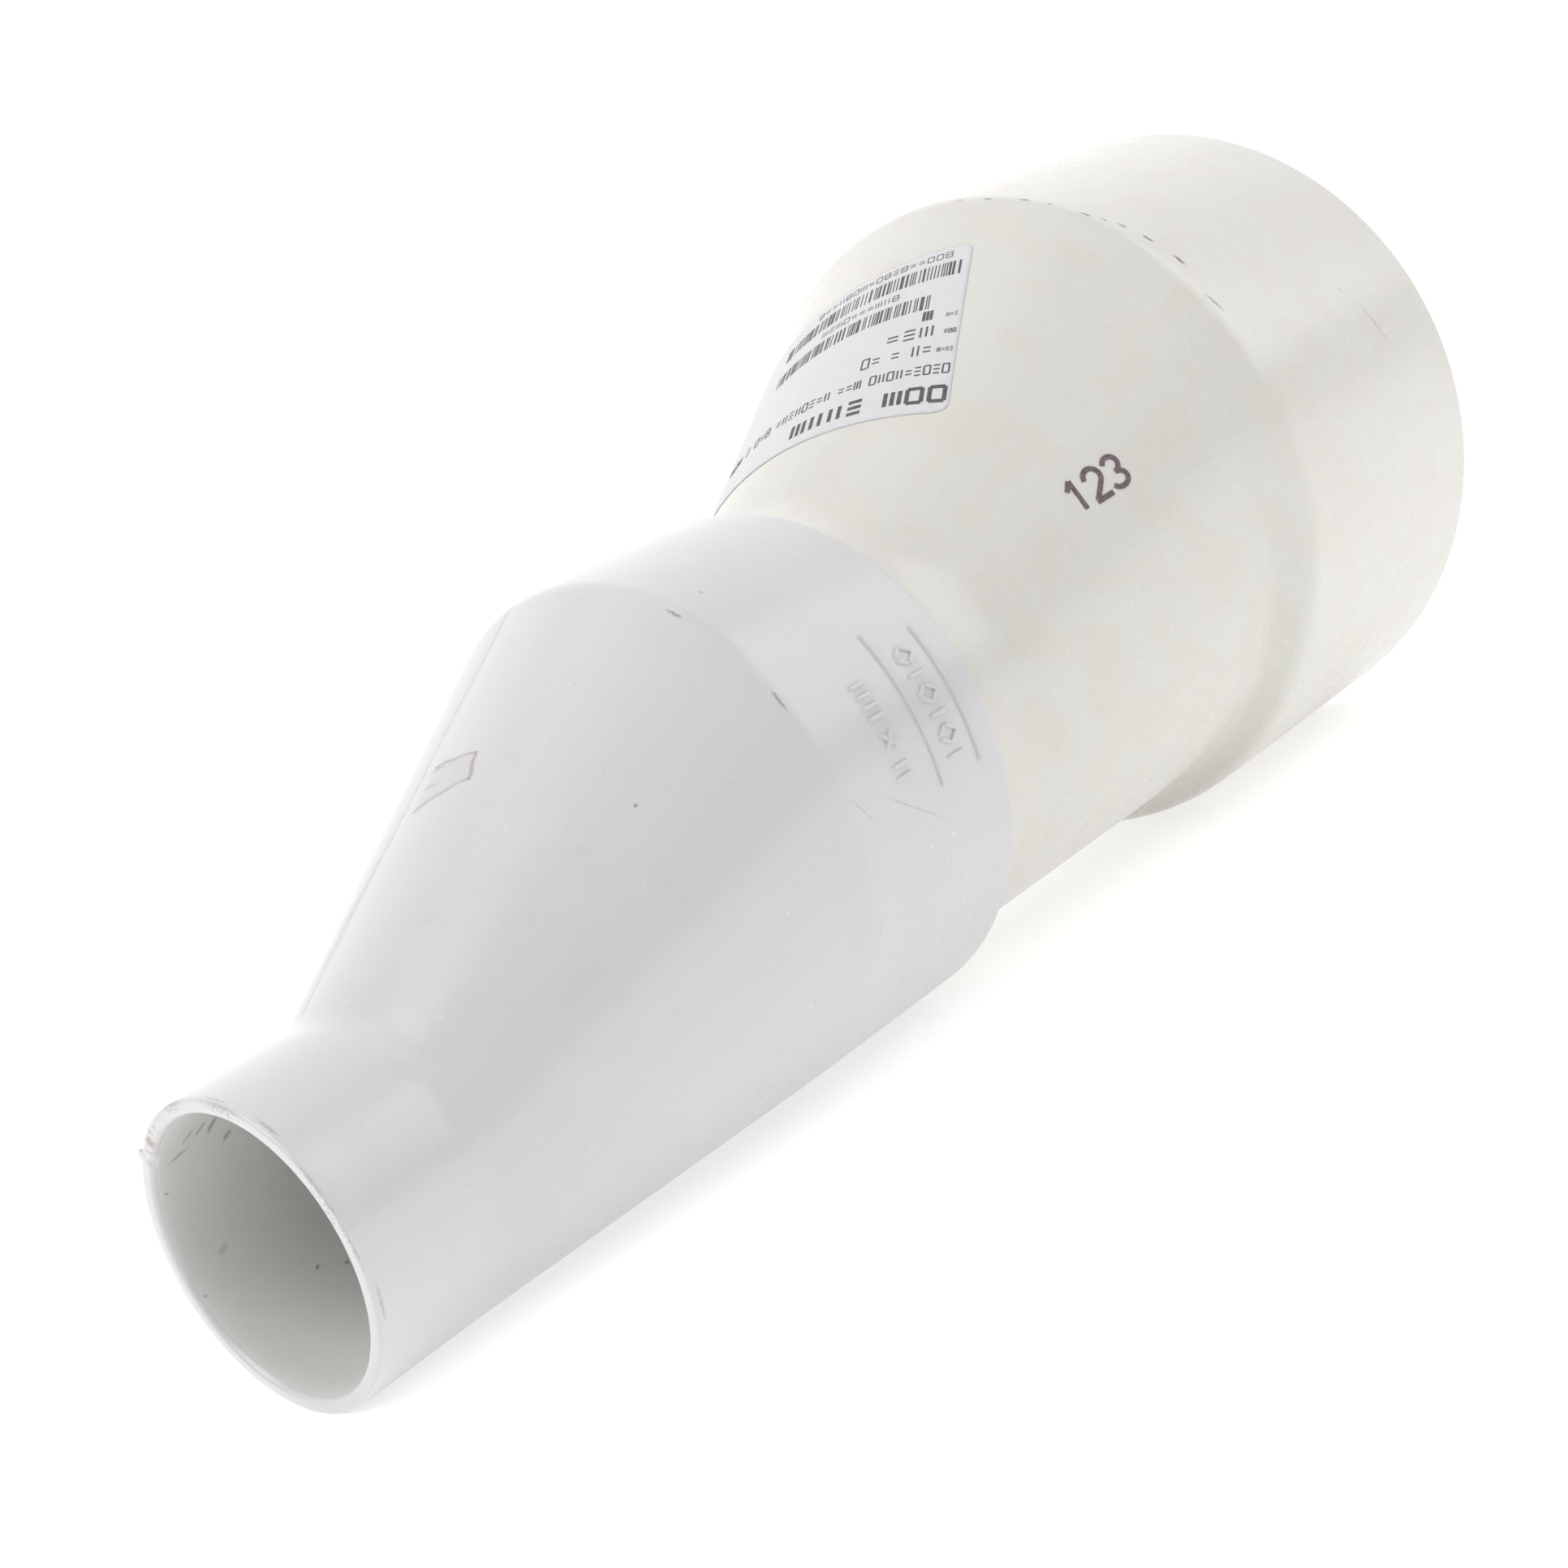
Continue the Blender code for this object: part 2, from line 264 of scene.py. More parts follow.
@dataclass(frozen=True)
class ShoulderedTaper(Taper):
    """Taper whose flat side runs into the rounded front of a bigger hub."""

    shoulder: float
    shoulder_radius: float
    softening: tuple[float, ...] = (-3.2, -2.4, -1.6, -0.8, 0.0, 0.8, 1.6, 2.4, 3.2)

    def lowest(self, x: np.ndarray) -> np.ndarray:
        """Lowest line: the lower of taper and shoulder, averaged over a few places.

        The shoulder is a quarter circle.

        Args:
            x: places along the pipe.

        Returns:
            The heights of the lowest line.
        """
        total = np.zeros(np.shape(x))
        for shift in self.softening:
            place = x + shift
            depth = np.clip(self.shoulder_radius - (place - self.shoulder), 0.0, self.shoulder_radius)
            bend = self.shoulder_radius - np.sqrt(self.shoulder_radius**2 - depth**2)
            flat_side = super().lowest(place)
            total += np.where(place < self.shoulder, flat_side, np.minimum(flat_side, bend))
        return total / len(self.softening)


# -------------------------------------------------------------------- patches
@dataclass(frozen=True)
class HubPatch:
    """Flat sheet laid round a straight hub. Its up side points to the small mouth."""

    radius: float
    axis: float
    x: float
    turn: float

    def points(self, right: np.ndarray, up: np.ndarray, lift: np.ndarray) -> np.ndarray:
        """Places on the hub: right goes round it by its share of the radius, up along it.

        Args:
            right: distances to the right on the sheet.
            up: distances up on the sheet.
            lift: heights above the hub.

        Returns:
            The places, with their coordinates along the last axis.
        """
        turn = math.radians(self.turn) + right / self.radius
        reach = self.radius + lift
        flat = np.broadcast_arrays(
            self.x + up, -reach * np.sin(turn), self.axis + reach * np.cos(turn)
        )
        return np.stack(flat, axis=-1)


class TaperPatch:
    """Flat sheet wrapped round a taper, which is part of an oblique cone.

    The straight lines of the cone meet at its apex. The angles between
    neighbouring lines, added up, give each line's direction on the flat sheet.
    A place on the sheet is a distance from the apex and a direction there.
    """

    def __init__(self, taper: Taper, turn: float, off_middle: float, askew: float) -> None:
        """Unroll the cone and fix the sheet's own axes on it.

        Args:
            taper: the taper that the sheet lies on.
            turn: line that the sheet's middle lies on, in degrees from the top.
            off_middle: how far along that line it lies from the taper's middle.
            askew: how far the sheet is turned in its own plane, in degrees.
        """
        radius = (taper.high[0] - taper.low[0]) / 2.0
        radius_end = (taper.high[1] - taper.low[1]) / 2.0
        height = (taper.high[0] + taper.low[0]) / 2.0
        height_end = (taper.high[1] + taper.low[1]) / 2.0
        length = taper.end - taper.start
        back = radius * length / (radius_end - radius)
        rise = (height_end - height) / length
        self.apex = np.array([taper.start - back, 0.0, height - back * rise])
        self.turns = np.radians(np.arange(-180.0, 180.5, 1.0))
        circle = np.stack([
            np.full_like(self.turns, taper.start),
            -radius * np.sin(self.turns),
            height + radius * np.cos(self.turns),
        ], axis=1)
        lines = circle - self.apex
        self.lines = lines / np.linalg.norm(lines, axis=1)[:, None]
        cosines = np.clip((self.lines[1:] * self.lines[:-1]).sum(axis=1), -1.0, 1.0)
        self.flat = np.concatenate([[0.0], np.cumsum(np.arccos(cosines))])
        self.middle = np.interp(math.radians(turn), self.turns, self.flat)
        slant = np.interp(math.radians(turn), self.turns, self.lines[:, 0])
        self.reach = ((taper.start + taper.end) / 2.0 - self.apex[0]) / slant + off_middle
        self.askew = math.radians(askew)

    def points(self, right: np.ndarray, up: np.ndarray, lift: np.ndarray) -> np.ndarray:
        """Places on the taper: turned by askew, then read as distance and direction from the apex.

        Args:
            right: distances on the sheet towards the front side.
            up: distances on the sheet towards the wide end.
            lift: heights above the taper.

        Returns:
            The places, with their coordinates along the last axis.
        """
        cosine, sine = math.cos(self.askew), math.sin(self.askew)
        across = right * cosine + up * sine
        along = self.reach - right * sine + up * cosine
        direction = self.middle + np.arctan2(across, along)
        turn = np.interp(direction, self.flat, self.turns)
        line = np.stack(
            [np.interp(direction, self.flat, self.lines[:, axis]) for axis in range(3)], axis=-1
        )
        line /= np.linalg.norm(line, axis=-1)[..., None]
        places = self.apex + np.hypot(across, along)[..., None] * line
        outward = np.stack([np.zeros_like(turn), -np.sin(turn), np.cos(turn)], axis=-1)
        return places + outward * np.broadcast_to(lift, turn.shape)[..., None]


Patch = HubPatch | TaperPatch


# --------------------------------------------------------------------- meshes
class Side(IntEnum):
    """Numbers of a moulding's two finishes: the polished outside, and the duller core side, whose
    colour carries painted bounce light.
    """

    OUTSIDE = 0
    CORE = 1


class TapePart(IntEnum):
    """Numbers of the tape's two finishes: its clear film and its dusty border."""

    FILM = 0
    BORDER = 1


@dataclass
class Faces:
    """Points and faces gathered for one mesh."""

    points: list[np.ndarray] = field(default_factory=list)
    quads: list[np.ndarray] = field(default_factory=list)
    finishes: list[np.ndarray] = field(default_factory=list)
    count: int = 0

    def add_grid(self, grid: np.ndarray, finish: int | np.ndarray = 0) -> None:
        """Take in an open grid of places, with a four-sided face in every cell.

        Args:
            grid: places as rows, columns and coordinates, in millimetres.
            finish: number of the finish, for all cells or for each row of cells.
        """
        self.add_cells(grid, np.arange(grid.shape[0] * grid.shape[1]).reshape(grid.shape[:2]), finish)

    def add_ring(self, grid: np.ndarray, finish: int | np.ndarray = 0) -> None:
        """Take in a grid whose last row and column join the first ones.

        Args:
            grid: places as rows, columns and coordinates, in millimetres.
            finish: number of the finish, for all cells or for each row of cells.
        """
        numbers = np.arange(grid.shape[0] * grid.shape[1]).reshape(grid.shape[:2])
        numbers = np.vstack([numbers, numbers[:1]])
        self.add_cells(grid, np.hstack([numbers, numbers[:, :1]]), finish)

    def add_cells(self, grid: np.ndarray, numbers: np.ndarray, finish: int | np.ndarray) -> None:
        """Take in places and the faces between them.

        Args:
            grid: places as rows, columns and coordinates, in millimetres.
            numbers: the place at each corner of the grid's cells.
            finish: number of the finish, for all cells or for each row of cells.
        """
        corners = [numbers[:-1, :-1], numbers[1:, :-1], numbers[1:, 1:], numbers[:-1, 1:]]
        self.quads.append(np.stack(corners, axis=-1).reshape(-1, 4) + self.count)
        by_row = np.broadcast_to(finish, numbers.shape[0] - 1)
        self.finishes.append(np.repeat(by_row, numbers.shape[1] - 1))
        self.points.append(grid.reshape(-1, 3))
        self.count += grid.shape[0] * grid.shape[1]

    def piece(self, name: str) -> bpy.types.Object:
        """Make the mesh and its object, at the origin, unturned and unscaled.

        Args:
            name: the new piece's name.

        Returns:
            The linked object, shaded smooth.
        """
        points = np.concatenate(self.points) * MM
        quads = np.concatenate(self.quads)
        mesh = bpy.data.meshes.new(name)
        mesh.vertices.add(len(points))
        mesh.vertices.foreach_set("co", points.astype(np.float32).ravel())
        mesh.loops.add(quads.size)
        mesh.loops.foreach_set("vertex_index", quads.astype(np.int32).ravel())
        mesh.polygons.add(len(quads))
        mesh.polygons.foreach_set("loop_start", np.arange(0, quads.size, 4, dtype=np.int32))
        finishes = np.concatenate(self.finishes).astype(np.int32)
        mesh.polygons.foreach_set("material_index", finishes)
        mesh.update(calc_edges=True)
        mesh.validate()
        mesh.shade_smooth()
        piece = bpy.data.objects.new(name, mesh)
        bpy.context.scene.collection.objects.link(piece)
        return piece


def settle(
    piece: bpy.types.Object, materials: list[bpy.types.Material], slot: str, *nodes: str
) -> None:
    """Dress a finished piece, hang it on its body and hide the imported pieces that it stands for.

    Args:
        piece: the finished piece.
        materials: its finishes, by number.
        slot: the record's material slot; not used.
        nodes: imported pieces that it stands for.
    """
    for material in materials:
        piece.data.materials.append(material)
    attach(piece, BODY)
    if nodes:
        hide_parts(*nodes)
    log.info("%s: %d faces", piece.name, len(piece.data.polygons))


# ------------------------------------------------------------- node materials
def linear_colour(code: str) -> tuple[float, float, float, float]:
    """Turn an sRGB hex code into a linear colour.

    Args:
        code: six hex digits after a hash sign.

    Returns:
        Red, green, blue and full alpha.
    """
    shares = [int(code[start : start + 2], 16) / 255.0 for start in (1, 3, 5)]
    linear = [
        share / 12.92 if share <= 0.04045 else ((share + 0.055) / 1.055) ** 2.4
        for share in shares
    ]
    return (*linear, 1.0)


def add_node(tree: bpy.types.NodeTree, kind: str, settings: dict, links: dict) -> bpy.types.Node:
    """Add one node, with its settings and its incoming links.

    Args:
        tree: the tree that it joins.
        kind: the node's type name.
        settings: values by attribute name, or by input name or number.
        links: outgoing sockets by input name or number.

    Returns:
        The new node.
    """
    made = tree.nodes.new(kind)
    for name, value in settings.items():
        if isinstance(name, str) and hasattr(made, name):
            setattr(made, name, value)
        else:
            made.inputs[name].default_value = value
    for name, socket in links.items():
        tree.links.new(socket, made.inputs[name])
    return made


class Soil(Enum):
    """What soils the plastic: grey handling dust, or brown resin burnt in the mould."""

    DUST = "#6a6054"
    RESIN = "#7d5a34"


@dataclass(frozen=True)
class Stain:
    """A small soft-edged mark on a surface: an ellipsoid that the surface cuts."""

    place: tuple[float, float, float]
    frame: Matrix
    size: tuple[float, float, float]
    strength: float
    soil: Soil


def stain_on(
    taper: Taper, x: float, turn: float, heading: float, size: tuple, strength: float,
    lift: float = 0.0, soil: Soil = Soil.DUST,
) -> Stain:
    """A mark on the outside of a reducer.

    Args:
        taper: the outside that it lies on.
        x: its place along the pipe.
        turn: its turn from the top, in degrees.
        heading: direction of its long side, in degrees from the pipe's direction.
        size: its length and width, in millimetres.
        strength: how much of the stain's colour shows.
        lift: its height above the outside, negative for the rim and the bore.
        soil: what the mark is made of.

    Returns:
        The mark, with its own axes: along, across and out of the surface.
    """
    angle = math.radians(turn)
    spot = np.array([x])
    here, ahead = (
        taper.points(spot + step, np.array([angle]), np.array([lift]))[0] for step in (0.0, 0.5)
    )
    along = Vector(ahead - here).normalized()
    around = Vector((0.0, -math.cos(angle), -math.sin(angle)))
    way = (along * math.cos(math.radians(heading)) + around * math.sin(math.radians(heading)))
    out = way.cross(along.cross(around)).normalized()
    basis = Matrix((way.normalized(), out, way.cross(out).normalized())).transposed()
    half = (size[0] / 2.0 * MM, size[1] / 2.0 * MM, 1.5 * MM)
    return Stain(tuple(here * MM), basis, half, strength, soil)


@dataclass(frozen=True)
class MouldedPvc:
    """Injection-moulded rigid PVC.

    The mould's polish leaves a satin gloss with a faint orange peel. Handling
    leaves a film of dust and grey scuffs that gather on proud edges.
    """

    name: str
    base: str
    mottle: str
    mottle_share: float
    mottle_size: float
    roughness: float
    peel_size: float = 1.6
    peel_depth: float = 0.005

    def make(self, stains: list[Stain]) -> bpy.types.Material:
        """Build the material: mottling, dust, single marks, gloss variation and peel.

        Args:
            stains: single marks on this moulding.

        Returns:
            The material.
        """
        material = bpy.data.materials.new(self.name)
        material.use_nodes = True
        tree = material.node_tree
        shader = tree.nodes["Principled BSDF"]
        shader.inputs["IOR"].default_value = 1.54
        shader.inputs["Metallic"].default_value = 0.0
        place = add_node(tree, "ShaderNodeTexCoord", {}, {}).outputs["Object"]

        def noise(size: float, detail: float, distortion: float = 0.0) -> bpy.types.Node:
            """Noise whose blobs are about the given size in millimetres."""
            return add_node(
                tree, "ShaderNodeTexNoise",
                {"Scale": 1.0 / (size * MM), "Detail": detail, "Distortion": distortion},
                {"Vector": place},
            )

        broad = noise(self.mottle_size, 3.0, 0.6)
        fine = noise(self.mottle_size / 9.0, 2.0)
        share = add_node(
            tree, "ShaderNodeMapRange",
            {"From Min": 0.42, "From Max": 0.68, "To Max": self.mottle_share},
            {"Value": broad.outputs["Fac"]},
        )
        colour = add_node(
            tree, "ShaderNodeMix",
            {"data_type": "RGBA", 6: linear_colour(self.base), 7: linear_colour(self.mottle)},
            {0: share.outputs[0]},
        ).outputs[2]
        dust = add_node(
            tree, "ShaderNodeMapRange",
            {"From Min": 0.62, "From Max": 0.8, "To Max": 0.06},
            {"Value": fine.outputs["Fac"]},
        )
        colour = add_node(
            tree, "ShaderNodeMix",
            {"data_type": "RGBA", 7: linear_colour(Soil.DUST.value)},
            {0: dust.outputs[0], 6: colour},
        ).outputs[2]
        for soil in Soil:
            marks = [stain for stain in stains if stain.soil is soil]
            if not marks:
                continue
            colour = add_node(
                tree, "ShaderNodeMix",
                {"data_type": "RGBA", 7: linear_colour(soil.value)},
                {0: self.stain_mask(tree, place, marks), 6: colour},
            ).outputs[2]
        tree.links.new(colour, shader.inputs["Base Color"])

        gloss = add_node(
            tree, "ShaderNodeMapRange",
            {"To Min": self.roughness - 0.06, "To Max": self.roughness + 0.08},
            {"Value": noise(self.mottle_size / 3.0, 3.0).outputs["Fac"]},
        )
        tree.links.new(gloss.outputs[0], shader.inputs["Roughness"])

        peel = noise(self.peel_size, 1.0)
        bump = add_node(
            tree, "ShaderNodeBump",
            {"Strength": 0.5, "Distance": self.peel_depth * MM},
            {"Height": peel.outputs["Fac"]},
        )
        tree.links.new(bump.outputs["Normal"], shader.inputs["Normal"])
        return material

    def stain_mask(
        self, tree: bpy.types.NodeTree, place: bpy.types.NodeSocket, stains: list[Stain]
    ) -> bpy.types.NodeSocket:
        """Where the single marks lie: the strongest of their soft ellipsoids.

        Each mark reads the place in its own axes, divided by its half sizes,
        so that its edge is at distance one. Noise makes the edges ragged.

        Args:
            tree: the material's tree.
            place: object coordinates.
            stains: the marks.

        Returns:
            A share from 0 to 1.
        """
        ragged = add_node(
            tree, "ShaderNodeTexNoise", {"Scale": 1.0 / (0.7 * MM), "Detail": 3.0}, {"Vector": place}
        )
        shifted = add_node(
            tree, "ShaderNodeVectorMath",
            {"operation": "MULTIPLY_ADD", 1: (2.0 * RAGGED * MM,) * 3},
            {0: ragged.outputs["Color"], 2: place},
        )
        level = add_node(
            tree, "ShaderNodeVectorMath",
            {"operation": "SUBTRACT", 1: (RAGGED * MM,) * 3},
            {0: shifted.outputs[0]},
        ).outputs[0]
        mask = None
        for stain in stains:
            local = add_node(
                tree, "ShaderNodeMapping",
                {
                    "vector_type": "TEXTURE",
                    "Location": stain.place,
                    "Rotation": stain.frame.to_euler("XYZ"),
                    "Scale": stain.size,
                },
                {"Vector": level},
            )
            away = add_node(
                tree, "ShaderNodeVectorMath", {"operation": "LENGTH"}, {0: local.outputs[0]}
            )
            spot = add_node(
                tree, "ShaderNodeMapRange",
                {"From Min": 1.1, "From Max": 0.5, "To Min": 0.0, "To Max": stain.strength},
                {"Value": away.outputs["Value"]},
            ).outputs[0]
            if mask is not None:
                spot = add_node(
                    tree, "ShaderNodeMath", {"operation": "MAXIMUM"}, {0: mask, 1: spot}
                ).outputs[0]
            mask = spot
        return mask


@dataclass(frozen=True)
class PlainFinish:
    """A finish whose colour varies only a little, by one noise.

    Used for coated label stock, thermal print, stamping ink, dried solvent
    cement and tape film.
    """

    name: str
    base: str
    shade: str
    grain_size: float
    roughness: float
    ior: float
    alpha: float = 1.0

    def make(self) -> bpy.types.Material:
        """Build the material.

        Returns:
            The material.
        """
        material = bpy.data.materials.new(self.name)
        material.use_nodes = True
        tree = material.node_tree
        shader = tree.nodes["Principled BSDF"]
        shader.inputs["IOR"].default_value = self.ior
        shader.inputs["Roughness"].default_value = self.roughness
        shader.inputs["Alpha"].default_value = self.alpha
        place = add_node(tree, "ShaderNodeTexCoord", {}, {}).outputs["Object"]
        grain = add_node(
            tree, "ShaderNodeTexNoise",
            {"Scale": 1.0 / (self.grain_size * MM), "Detail": 2.0},
            {"Vector": place},
        )
        share = add_node(
            tree, "ShaderNodeMapRange",
            {"From Min": 0.35, "From Max": 0.7},
            {"Value": grain.outputs["Fac"]},
        )
        colour = add_node(
            tree, "ShaderNodeMix",
            {"data_type": "RGBA", 6: linear_colour(self.base), 7: linear_colour(self.shade)},
            {0: share.outputs[0]},
        )
        tree.links.new(colour.outputs[2], shader.inputs["Base Color"])
        return material


# White injection-moulded PVC: cool, even and satin, with a soft shine along the hubs.
WHITE_PVC = MouldedPvc(
    "white moulded PVC", "#c5c3c5", "#c1bfc2", 0.5, 30.0, 0.24, peel_depth=0.003
)
# Its core side, in the sockets and bore: never polished, so duller; its colour is lighter and a little
# greener, as painted bounce light from inside the bore.
WHITE_CORE_WITH_PAINTED_BOUNCE = MouldedPvc("white moulded PVC, core side with painted greenish bounce", "#cfcecb", "#cac9c5", 0.5, 24.0, 0.4)
# Off-white PVC of another batch: warm, with faint pink clouds and a finer peel.
CREAM_PVC = MouldedPvc(
    "off-white moulded PVC", "#cdccc6", "#cdc7c1", 0.7, 16.0, 0.25, peel_size=1.2
)
# Its core side: about as warm as the outside, and duller; a touch lighter and less pink, as painted
# bounce light from inside the bore.
CREAM_CORE_WITH_PAINTED_BOUNCE = MouldedPvc("off-white moulded PVC, core side with painted bounce light", "#cfcec8", "#cac9c1", 0.5, 24.0, 0.4)
# Coated paper: flatter and bluer than the plastic round it.
LABEL_PAPER = PlainFinish("coated label paper", "#cfcdcf", "#cccacd", 6.0, 0.5, 1.5)
# Thermal print: soft dark grey, never quite black.
LABEL_PRINT = PlainFinish("thermal label print", "#4a464a", "#5d595c", 1.2, 0.6, 1.5)
# Stamping ink: thin and violet, paler where the pad left less.
STAMP_INK = PlainFinish("violet-black stamping ink", "#57494f", "#75676b", 0.8, 0.5, 1.5)
# Solvent cement: a glossy, slightly yellow film where it was wiped and dried.
DRIED_CEMENT = PlainFinish("dried solvent cement", "#d0cdc4", "#c9c5bb", 3.0, 0.2, 1.52)
# Packing tape: almost nothing but its shine.
TAPE_FILM = PlainFinish("clear packing tape film", "#bdb8b2", "#a9a39b", 5.0, 0.2, 1.49, 0.07)
# Its borders: dust on the bare glue draws a thin grey line.
TAPE_EDGE = PlainFinish("dusty edge of packing tape", "#a89c8c", "#8d806f", 2.0, 0.5, 1.49, 0.28)


# --------------------------------------------------------------------- shells
@dataclass(frozen=True)
class Chain:
    """Circles across the pipe, in the order in which a shell's skin meets them."""

    x: np.ndarray
    centre: np.ndarray
    radius: np.ndarray


def hoops(x: np.ndarray, radius: np.ndarray, axis: float) -> Chain:
    """Circles round a level axis.

    Args:
        x: their places along the pipe.
        radius: their radii.
        axis: the axis's height.

    Returns:
        The circles.
    """
    return Chain(*np.broadcast_arrays(x, axis, radius))


def skin(taper: Taper, x: np.ndarray) -> Chain:
    """Circles of a taper's outside.

    Args:
        taper: the taper.
        x: their places along the pipe.

    Returns:
        The circles.
    """
    return Chain(x, *taper.circle(x))


def joined(*chains: Chain) -> Chain:
    """Chains put end to end.

    Args:
        chains: the chains, in order.

    Returns:
        One chain.
    """
    return Chain(
        np.concatenate([chain.x for chain in chains]),
        np.concatenate([chain.centre for chain in chains]),
        np.concatenate([chain.radius for chain in chains]),
    )


@dataclass(frozen=True)
class Rim:
    """Mouth of a socket: a rounded outer edge, a flat rim and a rounded lead-in."""

    x: float
    axis: float
    outward: float
    outer: float
    inner: float
    edge: float = 0.8
    lead_length: float = 2.5
    lead_width: float = 1.3

    def chain(self) -> Chain:
        """Circles from the outside over the rim to the inside.

        The edge is a quarter circle, and the lead-in a quarter ellipse.

        Returns:
            The circles.
        """
        bend = np.linspace(0.0, math.pi / 2.0, 7)
        edge_x = self.x - self.outward * self.edge * (1.0 - np.sin(bend))
        edge_radius = self.outer - self.edge * (1.0 - np.cos(bend))
        lead_x = self.x - self.outward * self.lead_length * (1.0 - np.cos(bend))
        lead_radius = self.inner + self.lead_width * (1.0 - np.sin(bend))
        flat = spaced(edge_radius[-1], lead_radius[0], 0.4)[1:-1]
        return joined(
            hoops(edge_x, edge_radius, self.axis),
            hoops(np.full_like(flat, self.x), flat, self.axis),
            hoops(lead_x, lead_radius, self.axis),
        )


def backwards(chain: Chain) -> Chain:
    """A chain in the opposite order."""
    return Chain(chain.x[::-1], chain.centre[::-1], chain.radius[::-1])


def shell_grid(chain: Chain, uneven: np.ndarray) -> np.ndarray:
    """Every circle drawn as points: centre plus radius, turned from the top.

    Args:
        chain: the circles.
        uneven: added to the radius, as rows and columns.

    Returns:
        The places as rows, columns and coordinates.
    """
    turn = np.linspace(0.0, 2.0 * math.pi, SEGMENTS, endpoint=False)[None, :]
    reach = chain.radius[:, None] + uneven
    x = np.broadcast_to(chain.x[:, None], reach.shape)
    return np.stack([x, -reach * np.sin(turn), chain.centre[:, None] + reach * np.cos(turn)], axis=-1)


@dataclass(frozen=True)
class SmallReducer:
    """White front moulding: small socket, taper, middle socket, raised marks."""

    hub_length: float = 33.0
    taper_length: float = 97.0
    socket_inner: float = 30.3
    stop_inner: float = 26.25
    mid_socket_inner: float = 57.45
    mid_bore: float = 51.15
    land: float = 4.0
    mid_land: float = 3.0
    mid_stop_depth: float = 50.8
    corner_ease: float = 3.0
    shoulder_ease: float = 2.0
    waviness: float = 0.05

    @property
    def taper(self) -> Taper:
        """The outside, with the flat side on the floor.

        Returns:
            The taper between the small hub and the middle hub.
        """
        start = FRONT + self.hub_length
        return Taper(
            start, start + self.taper_length, (0.0, 0.0),
            (2.0 * SMALL_AXIS, 2.0 * MID_AXIS), self.corner_ease, self.shoulder_ease,
        )

    def chain(self) -> Chain:
        """Circles over the outside, the middle rim, the inside and the small rim.

        Returns:
            The closed skin's circles, in order.
        """
        front = Rim(FRONT, SMALL_AXIS, -1.0, SMALL_AXIS, self.socket_inner)
        back = Rim(MID_RIM, MID_AXIS, 1.0, MID_AXIS, self.mid_socket_inner, lead_length=1.0)
        mid_stop = MID_RIM - self.mid_stop_depth
        throat = SMALL_STOP + self.land
        inside_x = spaced(mid_stop - self.mid_land, throat, 4.0)
        share = (inside_x - throat) / (inside_x[0] - throat)
        return joined(
            skin(self.taper, spaced(FRONT + front.edge, MID_RIM - back.edge, 1.0)[1:-1]),
            back.chain(),
            hoops(spaced(MID_RIM - 2.0, mid_stop, 6.0), self.mid_socket_inner, MID_AXIS),
            hoops(np.array([mid_stop]), self.mid_bore, MID_AXIS),
            Chain(
                inside_x,
                SMALL_AXIS + share * (MID_AXIS - SMALL_AXIS),
                self.stop_inner + share * (self.mid_bore - self.stop_inner),
            ),
            hoops(np.array([SMALL_STOP]), self.stop_inner, SMALL_AXIS),
            hoops(spaced(SMALL_STOP, FRONT + 3.5, 3.0), self.socket_inner - 0.15, SMALL_AXIS),
            backwards(front.chain()),
        )

    def build(self, materials: list[bpy.types.Material]) -> None:
        """Make the moulding, with slightly wavy walls and a rough gate scar on its rim.

        Args:
            materials: the finishes of its outside and its core side.
        """
        chain = self.chain()
        turn = np.linspace(0.0, 2.0 * math.pi, SEGMENTS, endpoint=False)[None, :]
        uneven = self.waviness * ripple(chain.x[:, None] / 40.0, 3.0 * np.sin(turn), 0.4)
        grid = shell_grid(chain, uneven)
        around = (np.degrees(turn) + 180.0) % 360.0 - 180.0
        near_rim = window(-(chain.x[:, None] - FRONT), -2.0, 1.0, 0.9)
        scar = window(around, -50.0, -16.0, 4.0) * near_rim
        rough = 0.55 + 0.45 * ripple(around / 2.1, chain.radius[:, None] * 3.0, 2.0)
        grid[..., 0] -= 0.32 * scar * rough
        burr = window(around, -48.0, -43.0, 2.0) * smooth_step((FRONT + 1.4 - chain.x[:, None]) / 0.8)
        grid[..., 1:] += 0.035 * burr[..., None] * (grid[..., 1:] - np.array([0.0, SMALL_AXIS]))
        # Faces deep inside the walls take the core-side finish, whose colour is painted bounce light.
        inside = chain.radius < self.taper.circle(chain.x)[1] - CORE_DEPTH
        sides = np.where(inside, Side.CORE, Side.OUTSIDE)
        shell = Faces()
        shell.add_ring(grid[::-1], sides[::-1])
        settle(shell.piece("small_reducer_moulding"), materials, "white_pvc", "small_reducer")


